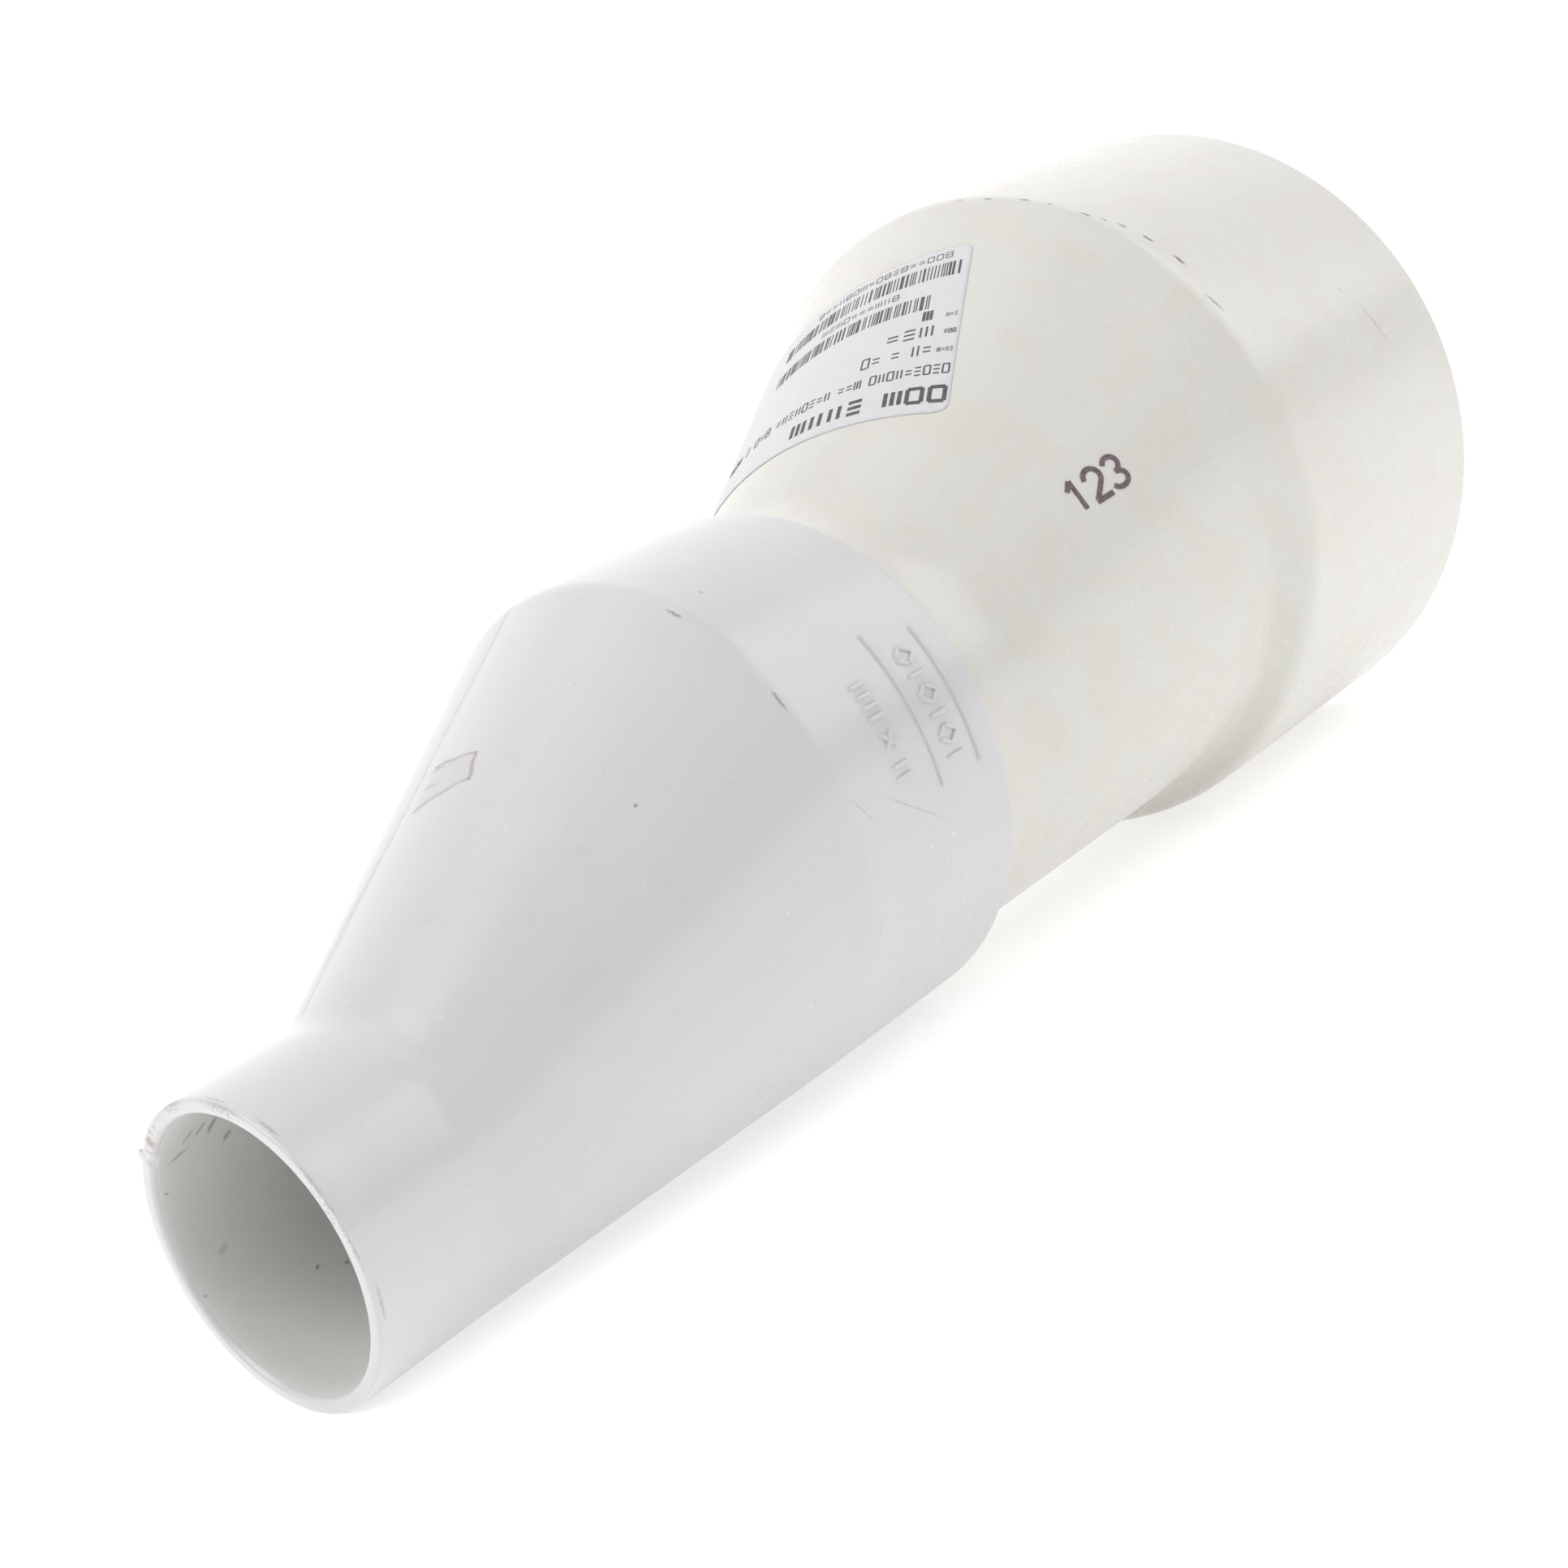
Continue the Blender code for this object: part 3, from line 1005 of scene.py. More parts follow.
@dataclass(frozen=True)
class LargeReducer:
    """Off-white rear moulding: spigot, neck, taper, rounded shoulder, big socket."""

    neck_length: float = 19.0
    taper_length: float = 95.0
    spigot_radius: float = 57.15
    bore: float = 51.15
    socket_inner: float = 84.4
    stop_inner: float = 77.05
    land: float = 8.0
    flat_side_rise: float = 1.5
    corner_ease: float = 7.0
    edge_ease: float = 2.0
    shoulder_advance: float = 6.0
    shoulder_radius: float = 10.0
    waviness: float = 0.05

    @property
    def taper(self) -> ShoulderedTaper:
        """The outside, with its flat side a little above the floor.

        Returns:
            The taper between the neck and the big hub.
        """
        start = MID_RIM + self.neck_length
        end = start + self.taper_length
        low = MID_AXIS - self.spigot_radius
        return ShoulderedTaper(
            start, end, (low, low + self.flat_side_rise),
            (MID_AXIS + self.spigot_radius, 2.0 * LARGE_AXIS),
            self.corner_ease, self.edge_ease, end - self.shoulder_advance, self.shoulder_radius,
        )

    def chain(self) -> Chain:
        """Circles over the outside, the big rim, the inside and the spigot's end.

        Returns:
            The closed skin's circles, in order.
        """
        back = Rim(REAR, LARGE_AXIS, 1.0, LARGE_AXIS, self.socket_inner)
        taper = self.taper
        throat = LARGE_STOP - self.land
        inside_x = spaced(throat, taper.start, 4.0)
        share = (inside_x - taper.start) / (throat - taper.start)
        bend = np.linspace(0.0, math.pi / 2.0, 5)
        return joined(
            hoops(SPIGOT_START + 1.0 - np.cos(bend), self.spigot_radius - 1.0 + np.sin(bend), MID_AXIS),
            skin(taper, spaced(SPIGOT_START + 2.0, MID_RIM - 4.0, 6.0)),
            skin(taper, spaced(MID_RIM - 2.0, taper.shoulder - 0.5, 1.0)),
            skin(taper, spaced(taper.shoulder, taper.end + 12.0, 0.5)),
            skin(taper, spaced(taper.end + 13.0, REAR - back.edge, 1.0)[:-1]),
            back.chain(),
            hoops(spaced(REAR - 3.5, LARGE_STOP, 6.0), self.socket_inner - 0.3, LARGE_AXIS),
            hoops(np.array([LARGE_STOP]), self.stop_inner, LARGE_AXIS),
            Chain(
                inside_x,
                MID_AXIS + share * (LARGE_AXIS - MID_AXIS),
                self.bore + share * (self.stop_inner - self.bore),
            ),
            hoops(spaced(taper.start - 4.0, SPIGOT_START, 10.0), self.bore, MID_AXIS),
        )

    def build(self, materials: list[bpy.types.Material]) -> None:
        """Make the moulding, with slightly wavy walls.

        Args:
            materials: the finishes of its outside and its core side.
        """
        chain = self.chain()
        turn = np.linspace(0.0, 2.0 * math.pi, SEGMENTS, endpoint=False)[None, :]
        uneven = self.waviness * ripple(chain.x[:, None] / 35.0, 3.0 * np.sin(turn), 1.9)
        # Faces deep inside the walls take the core-side finish, whose colour is painted bounce light.
        inside = chain.radius < self.taper.circle(chain.x)[1] - CORE_DEPTH
        sides = np.where(inside, Side.CORE, Side.OUTSIDE)
        shell = Faces()
        shell.add_ring(shell_grid(chain, uneven)[::-1], sides[::-1])
        settle(shell.piece("large_reducer_moulding"), materials, "cream_pvc", "large_reducer")


# ----------------------------------------------------------------- small work
def ribbon(path: np.ndarray, width: float, across: np.ndarray) -> tuple[np.ndarray, np.ndarray]:
    """Strip along a flat path: each point is pushed sideways by its share of half the width.

    Args:
        path: flat points along the strip's middle.
        width: the strip's width.
        across: shares from -1 to 1, one for each column.

    Returns:
        The strip's flat coordinates, right and up, as rows and columns.
    """
    step = np.gradient(path, axis=0)
    step /= np.maximum(np.linalg.norm(step, axis=1), 1e-9)[:, None]
    side = np.stack([-step[:, 1], step[:, 0]], axis=1)
    places = path[:, None, :] + side[:, None, :] * (across * width / 2.0)[None, :, None]
    return places[..., 0], places[..., 1]


def straight(start: tuple, end: tuple, step: float = 1.0) -> np.ndarray:
    """Straight path between two flat points.

    Args:
        start: the first point, right and up.
        end: the last point.
        step: about the distance between the path's points.

    Returns:
        The path's points.
    """
    first, last = np.array(start, float), np.array(end, float)
    count = max(2, round(np.linalg.norm(last - first) / step) + 1)
    return first + (last - first) * np.linspace(0.0, 1.0, count)[:, None]


def arc(centre: tuple, radii: tuple, first: float, last: float) -> np.ndarray:
    """Path along part of an ellipse: cosine and sine of an even run of angles.

    Args:
        centre: the ellipse's centre, right and up.
        radii: its half width and half height.
        first: angle of the first point, in degrees from the right.
        last: angle of the last point.

    Returns:
        The path's points, about 12 degrees apart.
    """
    angle = np.radians(spaced(first, last, 12.0))
    right = centre[0] + radii[0] * np.cos(angle)
    up = centre[1] + radii[1] * np.sin(angle)
    return np.stack([right, up], axis=1)


def inked(faces: Faces, patch: Patch, path: np.ndarray, width: float, lift: float) -> None:
    """Lay a flat stroke of ink on a patch.

    Args:
        faces: takes in the stroke.
        patch: the surface that it lies on.
        path: flat points along its middle.
        width: its width.
        lift: its height above the patch.
    """
    right, up = ribbon(path, width, np.array([-1.0, 1.0]))
    faces.add_grid(patch.points(right, up, np.full(right.shape, lift)))


def raised(faces: Faces, patch: Patch, path: np.ndarray, width: float, height: float) -> None:
    """Raise a ridge on a patch: soft sides up to a flat top, dying away at both ends.

    Args:
        faces: takes in the ridge.
        patch: the surface that it stands on.
        path: flat points along its middle.
        width: its width at the foot.
        height: its height.
    """
    across = np.linspace(-1.0, 1.0, 13)
    right, up = ribbon(path, width, across)
    run = np.concatenate([[0.0], np.cumsum(np.linalg.norm(np.diff(path, axis=0), axis=1))])
    ends = smooth_step(run / (width / 2.0)) * smooth_step((run[-1] - run) / (width / 2.0))
    hump = smooth_step(2.2 * (1.0 - np.abs(across)))
    faces.add_grid(patch.points(right, up, height * ends[:, None] * hump[None, :] - 0.08))


DIGITS = {
    "1": [straight((0.12, 0.72), (0.36, 1.0)), straight((0.36, 1.0), (0.36, 0.0))],
    "2": [
        arc((0.3, 0.70), (0.28, 0.30), 175.0, -35.0),
        straight((0.53, 0.53), (0.04, 0.03)),
        straight((0.0, 0.0), (0.62, 0.0)),
    ],
    "3": [
        arc((0.28, 0.745), (0.25, 0.255), 160.0, -90.0),
        arc((0.28, 0.245), (0.29, 0.245), 90.0, -160.0),
    ],
}


@dataclass(frozen=True)
class InspectionStamp:
    """Plain running number stamped in ink on the big taper."""

    text: str = "123"
    height: float = 8.0
    pitch: float = 6.4
    width: float = 1.05
    stroke: float = 1.35
    turn: float = 72.0
    off_middle: float = -3.0
    askew: float = 15.0
    lift: float = 0.11

    def build(self, taper: Taper, material: bpy.types.Material) -> None:
        """Stamp the number, reading towards the big end.

        Args:
            taper: the taper that it is stamped on.
            material: the ink.
        """
        patch = TaperPatch(taper, self.turn, self.off_middle, self.askew)
        ink = Faces()
        start = -self.pitch * len(self.text) / 2.0
        for place, digit in enumerate(self.text):
            for path in DIGITS[digit]:
                along = start + place * self.pitch + path[:, 0] * self.height * self.width
                up = (path[:, 1] - 0.5) * self.height
                inked(ink, patch, np.stack([-up, along], axis=1), self.stroke, self.lift)
        settle(ink.piece("inspection_stamp"), [material], "cream_pvc")


@dataclass(frozen=True)
class MouldMarks:
    """Raised marks on the middle hub: two long lines, a pattern between them and a tally of sizes."""

    upper_line: tuple[float, float, float] = (175.0, 65.4, 96.6)
    lower_line: tuple[float, float, float] = (160.7, 62.2, 97.0)
    pattern_x: float = 167.6
    pattern_turns: tuple[float, float] = (70.5, 92.5)
    pattern_count: int = 6
    pattern_size: float = 6.2
    diamond_reach: float = 2.3
    tally_x: float = 149.8
    tally_turn: float = 81.0
    tally_length: float = 5.6
    width: float = 1.1
    height: float = 0.7

    def row(self, marks: Faces, x: float, turn: float, paths: list[np.ndarray]) -> None:
        """Raise some strokes round one place.

        Args:
            marks: takes in the strokes.
            x: the place along the pipe.
            turn: its turn from the top, in degrees.
            paths: the strokes' flat paths.
        """
        patch = HubPatch(MID_AXIS, MID_AXIS, FRONT + x, turn)
        for path in paths:
            raised(marks, patch, path, self.width, self.height)

    def build(self, material: bpy.types.Material) -> None:
        """Raise the lines, the pattern of diamonds and bars, and the tally.

        Args:
            material: the moulding's finish.
        """
        marks = Faces()
        for x, first, last in (self.upper_line, self.lower_line):
            half = math.radians(last - first) * MID_AXIS / 2.0
            self.row(marks, x, (first + last) / 2.0, [straight((-half, 0.0), (half, 0.0), 0.5)])
        reach = self.pattern_size / 2.0
        for place, turn in enumerate(np.linspace(*self.pattern_turns, self.pattern_count)):
            side = self.diamond_reach
            corners = [(0.0, reach), (side, 0.0), (0.0, -reach), (-side, 0.0), (0.0, reach)]
            sides = [straight(*ends, 0.3) for ends in zip(corners, corners[1:])]
            upright = [straight((0.0, -reach), (0.0, reach), 0.3)]
            self.row(marks, self.pattern_x, turn, upright if place % 2 else sides)
        tall = self.tally_length / 2.0
        places = (-11.0, -8.4, -5.8, -3.2, 8.2, 10.8)
        bars = [straight((right, -tall), (right, tall), 0.3) for right in places]
        cross = [straight((0.4, -1.9), (4.4, 1.9), 0.3), straight((0.4, 1.9), (4.4, -1.9), 0.3)]
        self.row(marks, self.tally_x, self.tally_turn, bars + cross)
        settle(marks.piece("raised_mould_marks"), [material], "white_pvc")


@dataclass(frozen=True)
class StockLabel:
    """Paper stock label with rounded corners, bar codes and greeked lines of print.

    Places on the label count from its near lower corner as it is read:
    right along the lines of print, and down from its top edge at the neck.
    """

    width: float = 101.6
    height: float = 60.0
    corner: float = 3.2
    turn: float = -10.2
    off_middle: float = -2.4
    askew: float = -8.2
    lift: float = 0.16
    seed: int = 11

    def sheet(self, taper: Taper) -> TaperPatch:
        """The label's flat sheet on the taper."""
        return TaperPatch(taper, self.turn, self.off_middle, self.askew)

    def build(self, taper: Taper, paper: bpy.types.Material, ink: bpy.types.Material) -> None:
        """Make the paper and its print.

        Args:
            taper: the taper that it is stuck on.
            paper: the label stock's finish.
            ink: the print's finish.
        """
        patch = self.sheet(taper)
        down = spaced(0.0, self.height, 1.0)
        nearest = np.minimum(down, self.height - down)
        inset = self.corner - np.sqrt(
            np.maximum(self.corner**2 - np.maximum(self.corner - nearest, 0.0) ** 2, 0.0)
        )
        share = np.linspace(-1.0, 1.0, 101)
        right = share[:, None] * (self.width / 2.0 - inset[None, :])
        up = np.broadcast_to(down[None, :] - self.height / 2.0, right.shape)
        lift = np.full(right.shape, self.lift)
        paper_faces = Faces()
        paper_faces.add_grid(patch.points(right, up, lift))
        piece = paper_faces.piece("stock_label")
        wall = piece.modifiers.new("paper thickness", "SOLIDIFY")
        wall.thickness = 0.08 * MM
        wall.offset = -1.0
        settle(piece, [paper], "label_paper", "paper_label")
        self.print_on(patch, ink)

    def stroke(self, faces: Faces, patch: TaperPatch, start: tuple, end: tuple, width: float) -> None:
        """Print one straight stroke between two places on the label.

        Args:
            faces: takes in the stroke.
            patch: the label's sheet.
            start: right and down of its start.
            end: right and down of its end.
            width: its width.
        """
        path = straight(start, end, 2.0)
        flat = np.stack([self.width / 2.0 - path[:, 0], path[:, 1] - self.height / 2.0], axis=1)
        inked(faces, patch, flat, width, self.lift + 0.05)

    def bar_code(
        self, faces: Faces, patch: TaperPatch, right: tuple, down: tuple, rng: np.random.Generator
    ) -> None:
        """Print bars of one to three units, one to three units apart.

        Args:
            faces: takes in the bars.
            patch: the label's sheet.
            right: where the code starts and ends.
            down: where its bars start and end.
            rng: draws the bars' widths.
        """
        place = right[0]
        while place < right[1]:
            width = 0.33 * rng.choice([1, 2, 3], p=[0.62, 0.28, 0.1])
            middle = place + width / 2.0
            self.stroke(faces, patch, (middle, down[0]), (middle, down[1]), width)
            place += width + 0.33 * rng.choice([1, 2, 3], p=[0.45, 0.35, 0.2])

    def greeked(
        self, faces: Faces, patch: TaperPatch, words: list[int], place: tuple,
        height: float, pitch: float, bold: float, rng: np.random.Generator,
    ) -> None:
        """Print a line of stand-in characters: boxes, posts and rungs.

        Args:
            faces: takes in the strokes.
            patch: the label's sheet.
            words: number of characters in each word.
            place: right and down of the line's start.
            height: height of a character.
            pitch: distance from one character to the next.
            bold: width of a stroke.
            rng: draws the characters.
        """
        shapes = [
            [(0, 0, 0, 1), (1, 0, 1, 1), (0, 0, 1, 0), (0, 1, 1, 1)],
            [(0, 0, 0, 1), (1, 0, 1, 1), (0, 0, 1, 0), (0, 1, 1, 1), (0, 0.5, 1, 0.5)],
            [(0, 0.05, 1, 0.05), (0, 0.5, 1, 0.5), (0, 0.95, 1, 0.95)],
            [(0.15, 0, 0.15, 1), (0.85, 0, 0.85, 1)],
            [(0, 0, 0, 1), (0.5, 0, 0.5, 1), (1, 0, 1, 1)],
            [(0, 0.3, 1, 0.3), (0, 0.7, 1, 0.7)],
        ]
        right, foot = place
        cell = pitch * 0.66
        for word in words:
            for _ in range(word):
                for x0, y0, x1, y1 in shapes[rng.integers(len(shapes))]:
                    start = (right + x0 * cell, foot + y0 * height)
                    end = (right + x1 * cell, foot + y1 * height)
                    self.stroke(faces, patch, start, end, bold)
                right += pitch
            right += pitch * 0.8

    def print_on(self, patch: TaperPatch, ink: bpy.types.Material) -> None:
        """Print every line of the label.

        Args:
            patch: the label's sheet.
            ink: the print's finish.
        """
        rng = np.random.default_rng(self.seed)
        faces = Faces()
        lines = [
            ([3, 4], (1.4, 3.8), 4.7, 5.7, 1.15),
            ([9, 3, 8, 3, 1, 3], (1.2, 13.1), 3.0, 2.4, 0.45),
            ([4], (1.0, 20.6), 1.4, 1.1, 0.24),
            ([2, 1, 2], (6.8, 20.2), 3.6, 3.0, 0.48),
            ([3], (1.0, 27.0), 1.4, 1.1, 0.24),
            ([3], (7.2, 26.8), 3.6, 4.6, 0.55),
            ([3], (1.2, 33.0), 1.4, 1.1, 0.24),
            ([1], (8.2, 32.8), 3.4, 3.0, 0.8),
            ([10], (19.0, 44.4), 2.0, 2.6, 0.26),
            ([17], (5.4, 55.8), 2.0, 2.6, 0.26),
        ]
        for words, place, height, pitch, bold in lines:
            self.greeked(faces, patch, words, place, height, pitch, bold, rng)
        self.bar_code(faces, patch, (9.4, 62.0), (37.2, 42.4), rng)
        self.bar_code(faces, patch, (2.4, 62.0), (48.6, 53.8), rng)
        settle(faces.piece("label_print"), [ink], "label_paper")


@dataclass(frozen=True)
class CementBead:
    """Uneven fillet of solvent cement wiped round the mouth of the middle socket."""

    leg: float = 1.8
    clearance: float = 0.1
    spigot_radius: float = 57.15

    def build(self, material: bpy.types.Material) -> None:
        """Make the bead: a quarter-round hollow between rim and neck, of varying size.

        Args:
            material: the cement's finish.
        """
        turn = np.linspace(0.0, 2.0 * math.pi, SEGMENTS, endpoint=False)[None, :]
        leg = self.leg * (0.85 + 0.15 * ripple(3.0 * np.cos(turn), 5.0 * np.sin(turn), 1.1))
        bend = np.linspace(0.0, math.pi / 2.0, 7)
        out = np.concatenate([[0.0], 1.0 - np.sin(bend)])[:, None] * leg
        along = np.concatenate([[0.0], 1.0 - np.cos(bend)])[:, None] * leg
        reach = self.spigot_radius + self.clearance + out
        x = MID_RIM + self.clearance + along
        grid = np.stack([x, -reach * np.sin(turn), MID_AXIS + reach * np.cos(turn)], axis=-1)
        bead = Faces()
        bead.add_ring(grid[::-1])
        settle(bead.piece("wiped_cement"), [material], "solvent_cement", "cement_bead")


@dataclass(frozen=True)
class TapeScraps:
    """What is left of clear packing tape on the small taper: a long strip and a torn tab.

    Places on the strip count from its near edge, whose turn changes evenly
    along the pipe. The tab has four corners, each a place along the pipe and a
    turn from the top.
    """

    span: tuple[float, float] = (36.0, 134.0)
    near_turns: tuple[float, float] = (-14.0, -9.0)
    width: float = 24.0
    edge: float = 0.5
    lift: float = 0.14
    curl: float = 0.9
    tab: tuple[tuple[float, float], ...] = ((77.8, -6.2), (88.9, -6.8), (84.0, 11.8), (90.6, 8.6))

    def strip(self, taper: Taper, across: np.ndarray, up: float) -> np.ndarray:
        """Part of the strip, with wavy edges and a curled end past the shoulder.

        Args:
            taper: the taper that it is stuck on.
            across: distances from the near edge.
            up: extra lift.

        Returns:
            Its places as rows, columns and coordinates.
        """
        x = FRONT + spaced(*self.span, 1.0)[None, :]
        share = (x - FRONT - self.span[0]) / (self.span[1] - self.span[0])
        near = self.near_turns[0] + share * (self.near_turns[1] - self.near_turns[0])
        ragged = across[:, None] + 0.3 * ripple(x / 1.9, x / 5.0, 0.2)
        turn = np.radians(near) - ragged / taper.circle(x)[1]
        curled = self.lift + up + self.curl * smooth_step((share - 0.96) / 0.04)
        return taper.points(x + 0.0 * turn, turn, curled + 0.0 * turn)[::-1]

    def torn(self, taper: Taper, share: tuple[float, float, float, float], up: float) -> np.ndarray:
        """Part of the tab: its corners blended across and along, with ragged borders.

        Args:
            taper: the taper that it is stuck on.
            share: first and last share across the tab, then along it.
            up: extra lift.

        Returns:
            Its places as rows, columns and coordinates.
        """
        a, b = np.meshgrid(
            spaced(share[0], share[1], 0.05), spaced(share[2], share[3], 0.05), indexing="ij"
        )
        near_low, near_high, far_low, far_high = np.array(self.tab)
        corners = [
            (1 - a) * (1 - b) * near_low[axis] + (1 - a) * b * near_high[axis]
            + a * (1 - b) * far_low[axis] + a * b * far_high[axis]
            for axis in range(2)
        ]
        turn = np.radians(corners[1] + 0.5 * ripple(6.0 * b, 3.0 * a, 0.5))
        x = FRONT + corners[0] + 0.4 * ripple(7.0 * a, 2.0 * b, 1.5)
        return taper.points(x, turn, np.full(x.shape, self.lift + up))

    def build(self, taper: Taper, film: bpy.types.Material, dusty: bpy.types.Material) -> None:
        """Make the film, and the dusty borders over it.

        Args:
            taper: the taper that it is stuck on.
            film: the film's finish.
            dusty: the finish of its borders.
        """
        scraps = Faces()
        film_rows = spaced(self.edge, self.width - self.edge, 1.0)
        scraps.add_grid(self.strip(taper, film_rows, 0.0), TapePart.FILM)
        scraps.add_grid(self.torn(taper, (0.0, 1.0, 0.0, 1.0), 0.06), TapePart.FILM)
        for start in (0.0, self.width - self.edge):
            border = self.strip(taper, spaced(start, start + self.edge, 0.25), 0.0)
            scraps.add_grid(border, TapePart.BORDER)
        for share in ((0.0, 1.0, 0.0, 0.06), (0.0, 1.0, 0.94, 1.0), (0.94, 1.0, 0.0, 1.0)):
            scraps.add_grid(self.torn(taper, share, 0.1), TapePart.BORDER)
        settle(scraps.piece("tape_scraps"), [film, dusty], "tape_film", "clear_tape")


# ------------------------------------------------------------- stage and view
@dataclass(frozen=True)
class Softbox:
    """Square studio light that points at the fitting.

    Its bearing counts from behind the camera towards the camera's right.
    """

    name: str
    bearing: float
    height: float
    power: float
    size: float = 1.1
    distance: float = 1.6

    def build(self, heading: float) -> None:
        """Hang the light.

        Args:
            heading: the camera's heading, in degrees.
        """
        level = math.radians(heading + 180.0 + self.bearing)
        steep = math.radians(self.height)
        away = Vector((
            math.cos(level) * math.cos(steep), math.sin(level) * math.cos(steep), math.sin(steep)
        ))
        lamp = bpy.data.lights.new(self.name, "AREA")
        lamp.shape = "SQUARE"
        lamp.size = self.size
        lamp.energy = self.power
        holder = bpy.data.objects.new(self.name, lamp)
        holder.location = Vector((0.0, 0.0, 0.08)) + away * self.distance
        holder.rotation_euler = (-away).to_track_quat("-Z", "Y").to_euler()
        bpy.context.scene.collection.objects.link(holder)


SOFTBOXES = (
    Softbox("front left softbox", -45.0, 50.0, 14.8),
    Softbox("left softbox", -90.0, 30.0, 3.0),
    Softbox("overhead softbox", 0.0, 89.0, 3.0),
    Softbox("front right softbox", 45.0, 50.0, 1.6),
    Softbox("right softbox", 90.0, 30.0, 6.4),
)


@dataclass(frozen=True)
class Studio:
    """Pale floor, white surround, soft lights and the camera."""

    floor_size: float = 6.0
    surround_front: float = 0.25
    surround_back: float = 1.35
    floor_glow: float = 0.45
    camera_place: tuple[float, float, float] = (-0.4072, -0.4014, 0.1486)
    heading: float = 45.74
    tilt: float = -8.93
    roll: float = 22.36
    lens: float = 54.25

    def build(self) -> None:
        """Set the stage."""
        scene = bpy.context.scene
        scene.view_settings.view_transform = "Standard"
        world = bpy.data.worlds.new("white surround")
        world.use_nodes = True
        tree = world.node_tree
        background = tree.nodes["Background"]
        background.inputs["Color"].default_value = (1.0, 1.0, 1.0, 1.0)
        ahead = (math.cos(math.radians(self.heading)), math.sin(math.radians(self.heading)), 0.0)
        direction = add_node(tree, "ShaderNodeTexCoord", {}, {}).outputs["Generated"]
        facing = add_node(
            tree, "ShaderNodeVectorMath", {"operation": "DOT_PRODUCT", 1: ahead}, {0: direction}
        )
        brightness = add_node(
            tree, "ShaderNodeMapRange",
            {
                "interpolation_type": "SMOOTHSTEP",
                "From Min": -0.3, "From Max": 0.8,
                "To Min": self.surround_front, "To Max": self.surround_back,
            },
            {"Value": facing.outputs["Value"]},
        )
        tree.links.new(brightness.outputs[0], background.inputs["Strength"])
        scene.world = world
        self.floor()
        self.camera()
        for light in SOFTBOXES:
            light.build(self.heading)

    def floor(self) -> None:
        """Lay a plain white floor under the fitting."""
        half = self.floor_size / 2.0 / MM
        corner = np.array([-half, half])
        x, y = np.meshgrid(corner, corner, indexing="ij")
        faces = Faces()
        faces.add_grid(np.stack([x, y, np.full_like(x, -0.05)], axis=-1))
        floor = faces.piece("studio_floor")
        material = bpy.data.materials.new("matt white floor")
        material.use_nodes = True
        shader = material.node_tree.nodes["Principled BSDF"]
        shader.inputs["Base Color"].default_value = linear_colour("#f4f4f4")
        shader.inputs["Roughness"].default_value = 0.9
        shader.inputs["Emission Color"].default_value = (1.0, 1.0, 1.0, 1.0)
        shader.inputs["Emission Strength"].default_value = self.floor_glow
        floor.data.materials.append(material)

    def camera(self) -> None:
        """Stand the camera in front of the small mouth, looking slightly down and rolled."""
        heading, tilt, roll = (math.radians(angle) for angle in (self.heading, self.tilt, self.roll))
        forward = Vector((
            math.cos(heading) * math.cos(tilt), math.sin(heading) * math.cos(tilt), math.sin(tilt)
        ))
        level = forward.cross(Vector((0.0, 0.0, 1.0))).normalized()
        upright = level.cross(forward)
        right = level * math.cos(roll) - upright * math.sin(roll)
        up = upright * math.cos(roll) + level * math.sin(roll)
        lens = bpy.data.cameras.new("studio_camera")
        lens.lens = self.lens
        lens.sensor_width = 36.0
        lens.clip_start = 0.01
        lens.clip_end = 50.0
        camera = bpy.data.objects.new("studio_camera", lens)
        turn = Matrix((right, up, -forward)).transposed().to_4x4()
        camera.matrix_world = Matrix.Translation(Vector(self.camera_place)) @ turn
        bpy.context.scene.collection.objects.link(camera)
        bpy.context.scene.camera = camera


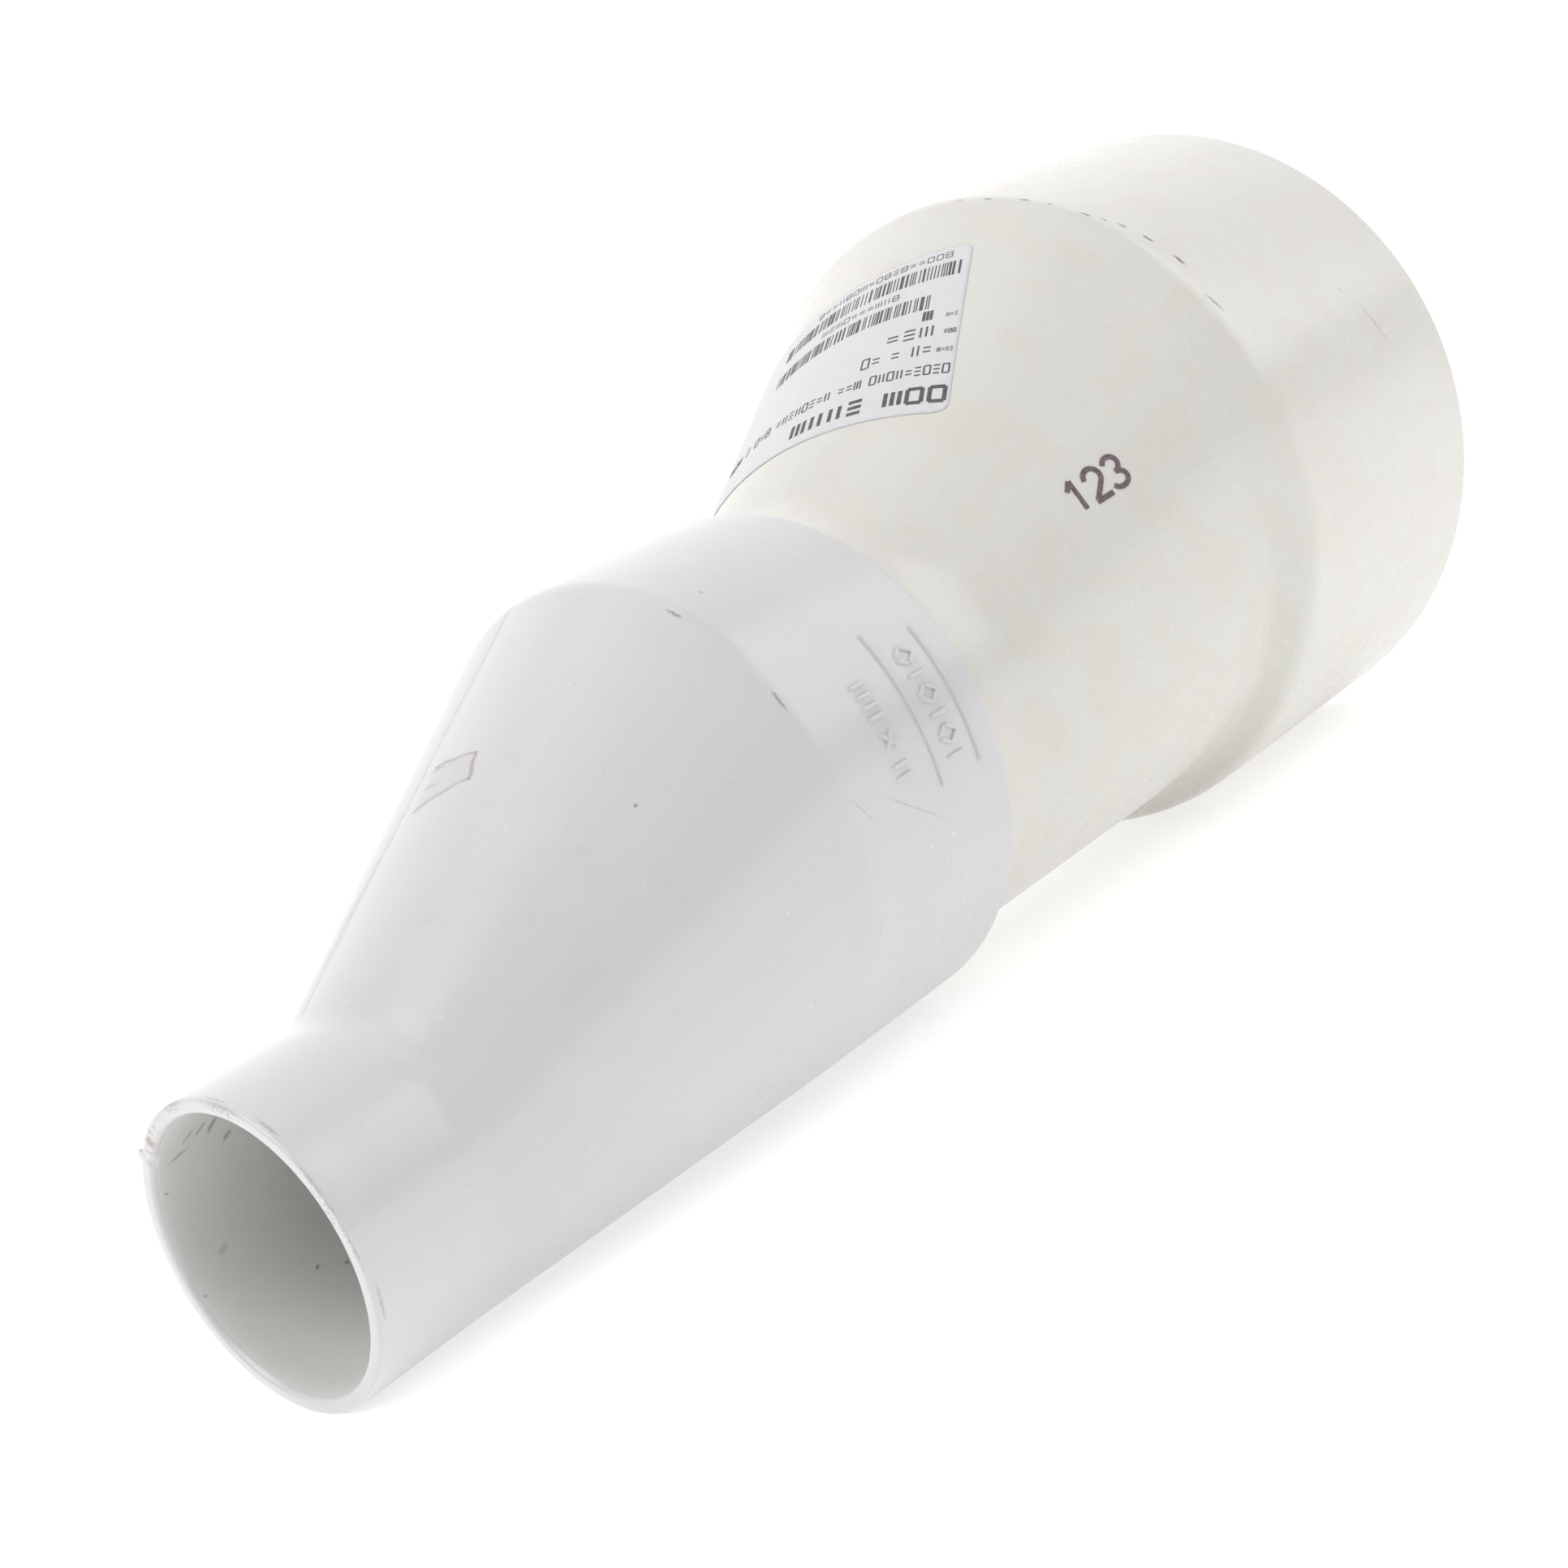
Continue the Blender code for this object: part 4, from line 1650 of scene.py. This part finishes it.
def small_reducer_stains(taper: Taper) -> list[Stain]:
    """Specks and scuffs on the white moulding, and resin stains on its rim.

    Args:
        taper: the moulding's outside.

    Returns:
        The marks.
    """
    outside = [
        (129.0, 37.7, 90.0, (5.0, 0.9), 0.6),
        (129.3, 65.7, 90.0, (6.0, 0.9), 0.5),
        (94.3, 55.9, 0.0, (1.1, 0.9), 0.6),
        (139.7, 36.5, 60.0, (1.3, 0.6), 0.6),
        (1.4, 40.0, 90.0, (7.0, 0.8), 0.35),
        (1.6, 108.0, 90.0, (9.0, 0.8), 0.3),
        (1.2, 15.0, 90.0, (9.0, 0.7), 0.3),
        (84.0, -4.0, 90.0, (6.0, 1.6), 0.25),
        (88.0, -5.0, 80.0, (8.0, 1.4), 0.25),
        (58.0, -16.0, 4.0, (46.0, 3.0), 0.22),
        (150.0, 97.5, 35.0, (26.0, 0.5), 0.25),
        (134.0, 92.0, 60.0, (11.0, 0.5), 0.2),
    ]
    rim = [
        (0.3, -35.0, 90.0, (3.4, 2.4), 0.6, -1.9, Soil.RESIN),
        (0.3, -30.0, 60.0, (1.8, 1.2), 0.45, -1.2, Soil.RESIN),
        (0.3, -43.0, 90.0, (4.0, 1.0), 0.55, -0.4, Soil.RESIN),
        (0.3, -40.0, 20.0, (3.6, 0.8), 0.35, -2.2),
        (0.4, -24.0, 70.0, (5.0, 0.6), 0.35, -1.6),
        (0.2, -8.0, 90.0, (10.0, 0.6), 0.35, -0.8),
        (0.2, 20.0, 90.0, (14.0, 0.5), 0.35, -1.1),
        (0.2, 75.0, 90.0, (40.0, 0.4), 0.3, -1.2),
    ]
    bore = [
        (7.9, -39.6, 60.0, (4.5, 1.0), 0.45, -3.8),
        (11.0, -39.3, 60.0, (5.0, 1.1), 0.5, -3.8),
        (14.1, -41.5, 70.0, (5.0, 1.5), 0.6, -3.8),
        (18.4, -52.6, 40.0, (3.0, 1.8), 0.5, -3.8),
        (6.0, -48.0, 20.0, (6.5, 0.8), 0.5, -3.8),
        (2.7, -62.7, 0.0, (1.2, 0.8), 0.5, -3.7),
        (25.3, -121.7, 30.0, (1.6, 0.9), 0.75, -3.85),
        (31.1, -127.1, 0.0, (1.0, 1.0), 0.6, -3.9, Soil.RESIN),
        (10.3, -95.4, 30.0, (3.4, 1.6), 0.25, -3.8),
        (2.0, -107.0, 0.0, (1.2, 0.8), 0.4, -3.7),
    ]
    return [stain_on(taper, FRONT + mark[0], *mark[1:]) for mark in outside + rim + bore]


def large_reducer_stains(taper: Taper) -> list[Stain]:
    """Dark scuffs along the shoulder, and specks and scratches on the big hub.

    Args:
        taper: the moulding's outside.

    Returns:
        The marks.
    """
    outside = [
        (296.8, 14.0, 90.0, (3.4, 0.8), 0.6),
        (296.8, 19.8, 90.0, (3.6, 0.9), 0.7),
        (297.8, 26.7, 90.0, (3.6, 0.9), 0.75),
        (298.3, 31.5, 90.0, (2.4, 0.8), 0.6),
        (298.9, 38.3, 90.0, (4.0, 1.0), 0.8),
        (300.2, 41.3, 90.0, (3.0, 0.9), 0.7),
        (301.8, 44.1, 90.0, (3.2, 1.0), 0.8),
        (302.8, 48.9, 90.0, (4.2, 1.3), 0.85),
        (303.3, 55.3, 90.0, (4.6, 1.5), 0.9),
        (300.1, 64.9, 80.0, (7.0, 1.3), 0.6),
        (358.0, 80.1, 72.0, (19.0, 0.6), 0.4),
        (352.0, 72.0, 72.0, (7.0, 0.5), 0.3),
    ]
    return [stain_on(taper, FRONT + mark[0], *mark[1:]) for mark in outside]


def main() -> None:
    """Build every piece of the fitting and its stage."""
    logging.basicConfig(level=logging.INFO, format="%(name)s: %(message)s")
    Studio().build()
    small, large = SmallReducer(), LargeReducer()
    small_stains = small_reducer_stains(small.taper)
    white = WHITE_PVC.make(small_stains)
    small.build([white, WHITE_CORE_WITH_PAINTED_BOUNCE.make(small_stains)])
    large.build([CREAM_PVC.make(large_reducer_stains(large.taper)), CREAM_CORE_WITH_PAINTED_BOUNCE.make([])])
    MouldMarks().build(white)
    CementBead().build(DRIED_CEMENT.make())
    StockLabel().build(large.taper, LABEL_PAPER.make(), LABEL_PRINT.make())
    InspectionStamp().build(large.taper, STAMP_INK.make())
    TapeScraps().build(small.taper, TAPE_FILM.make(), TAPE_EDGE.make())


if __name__ == "__main__":
    main()
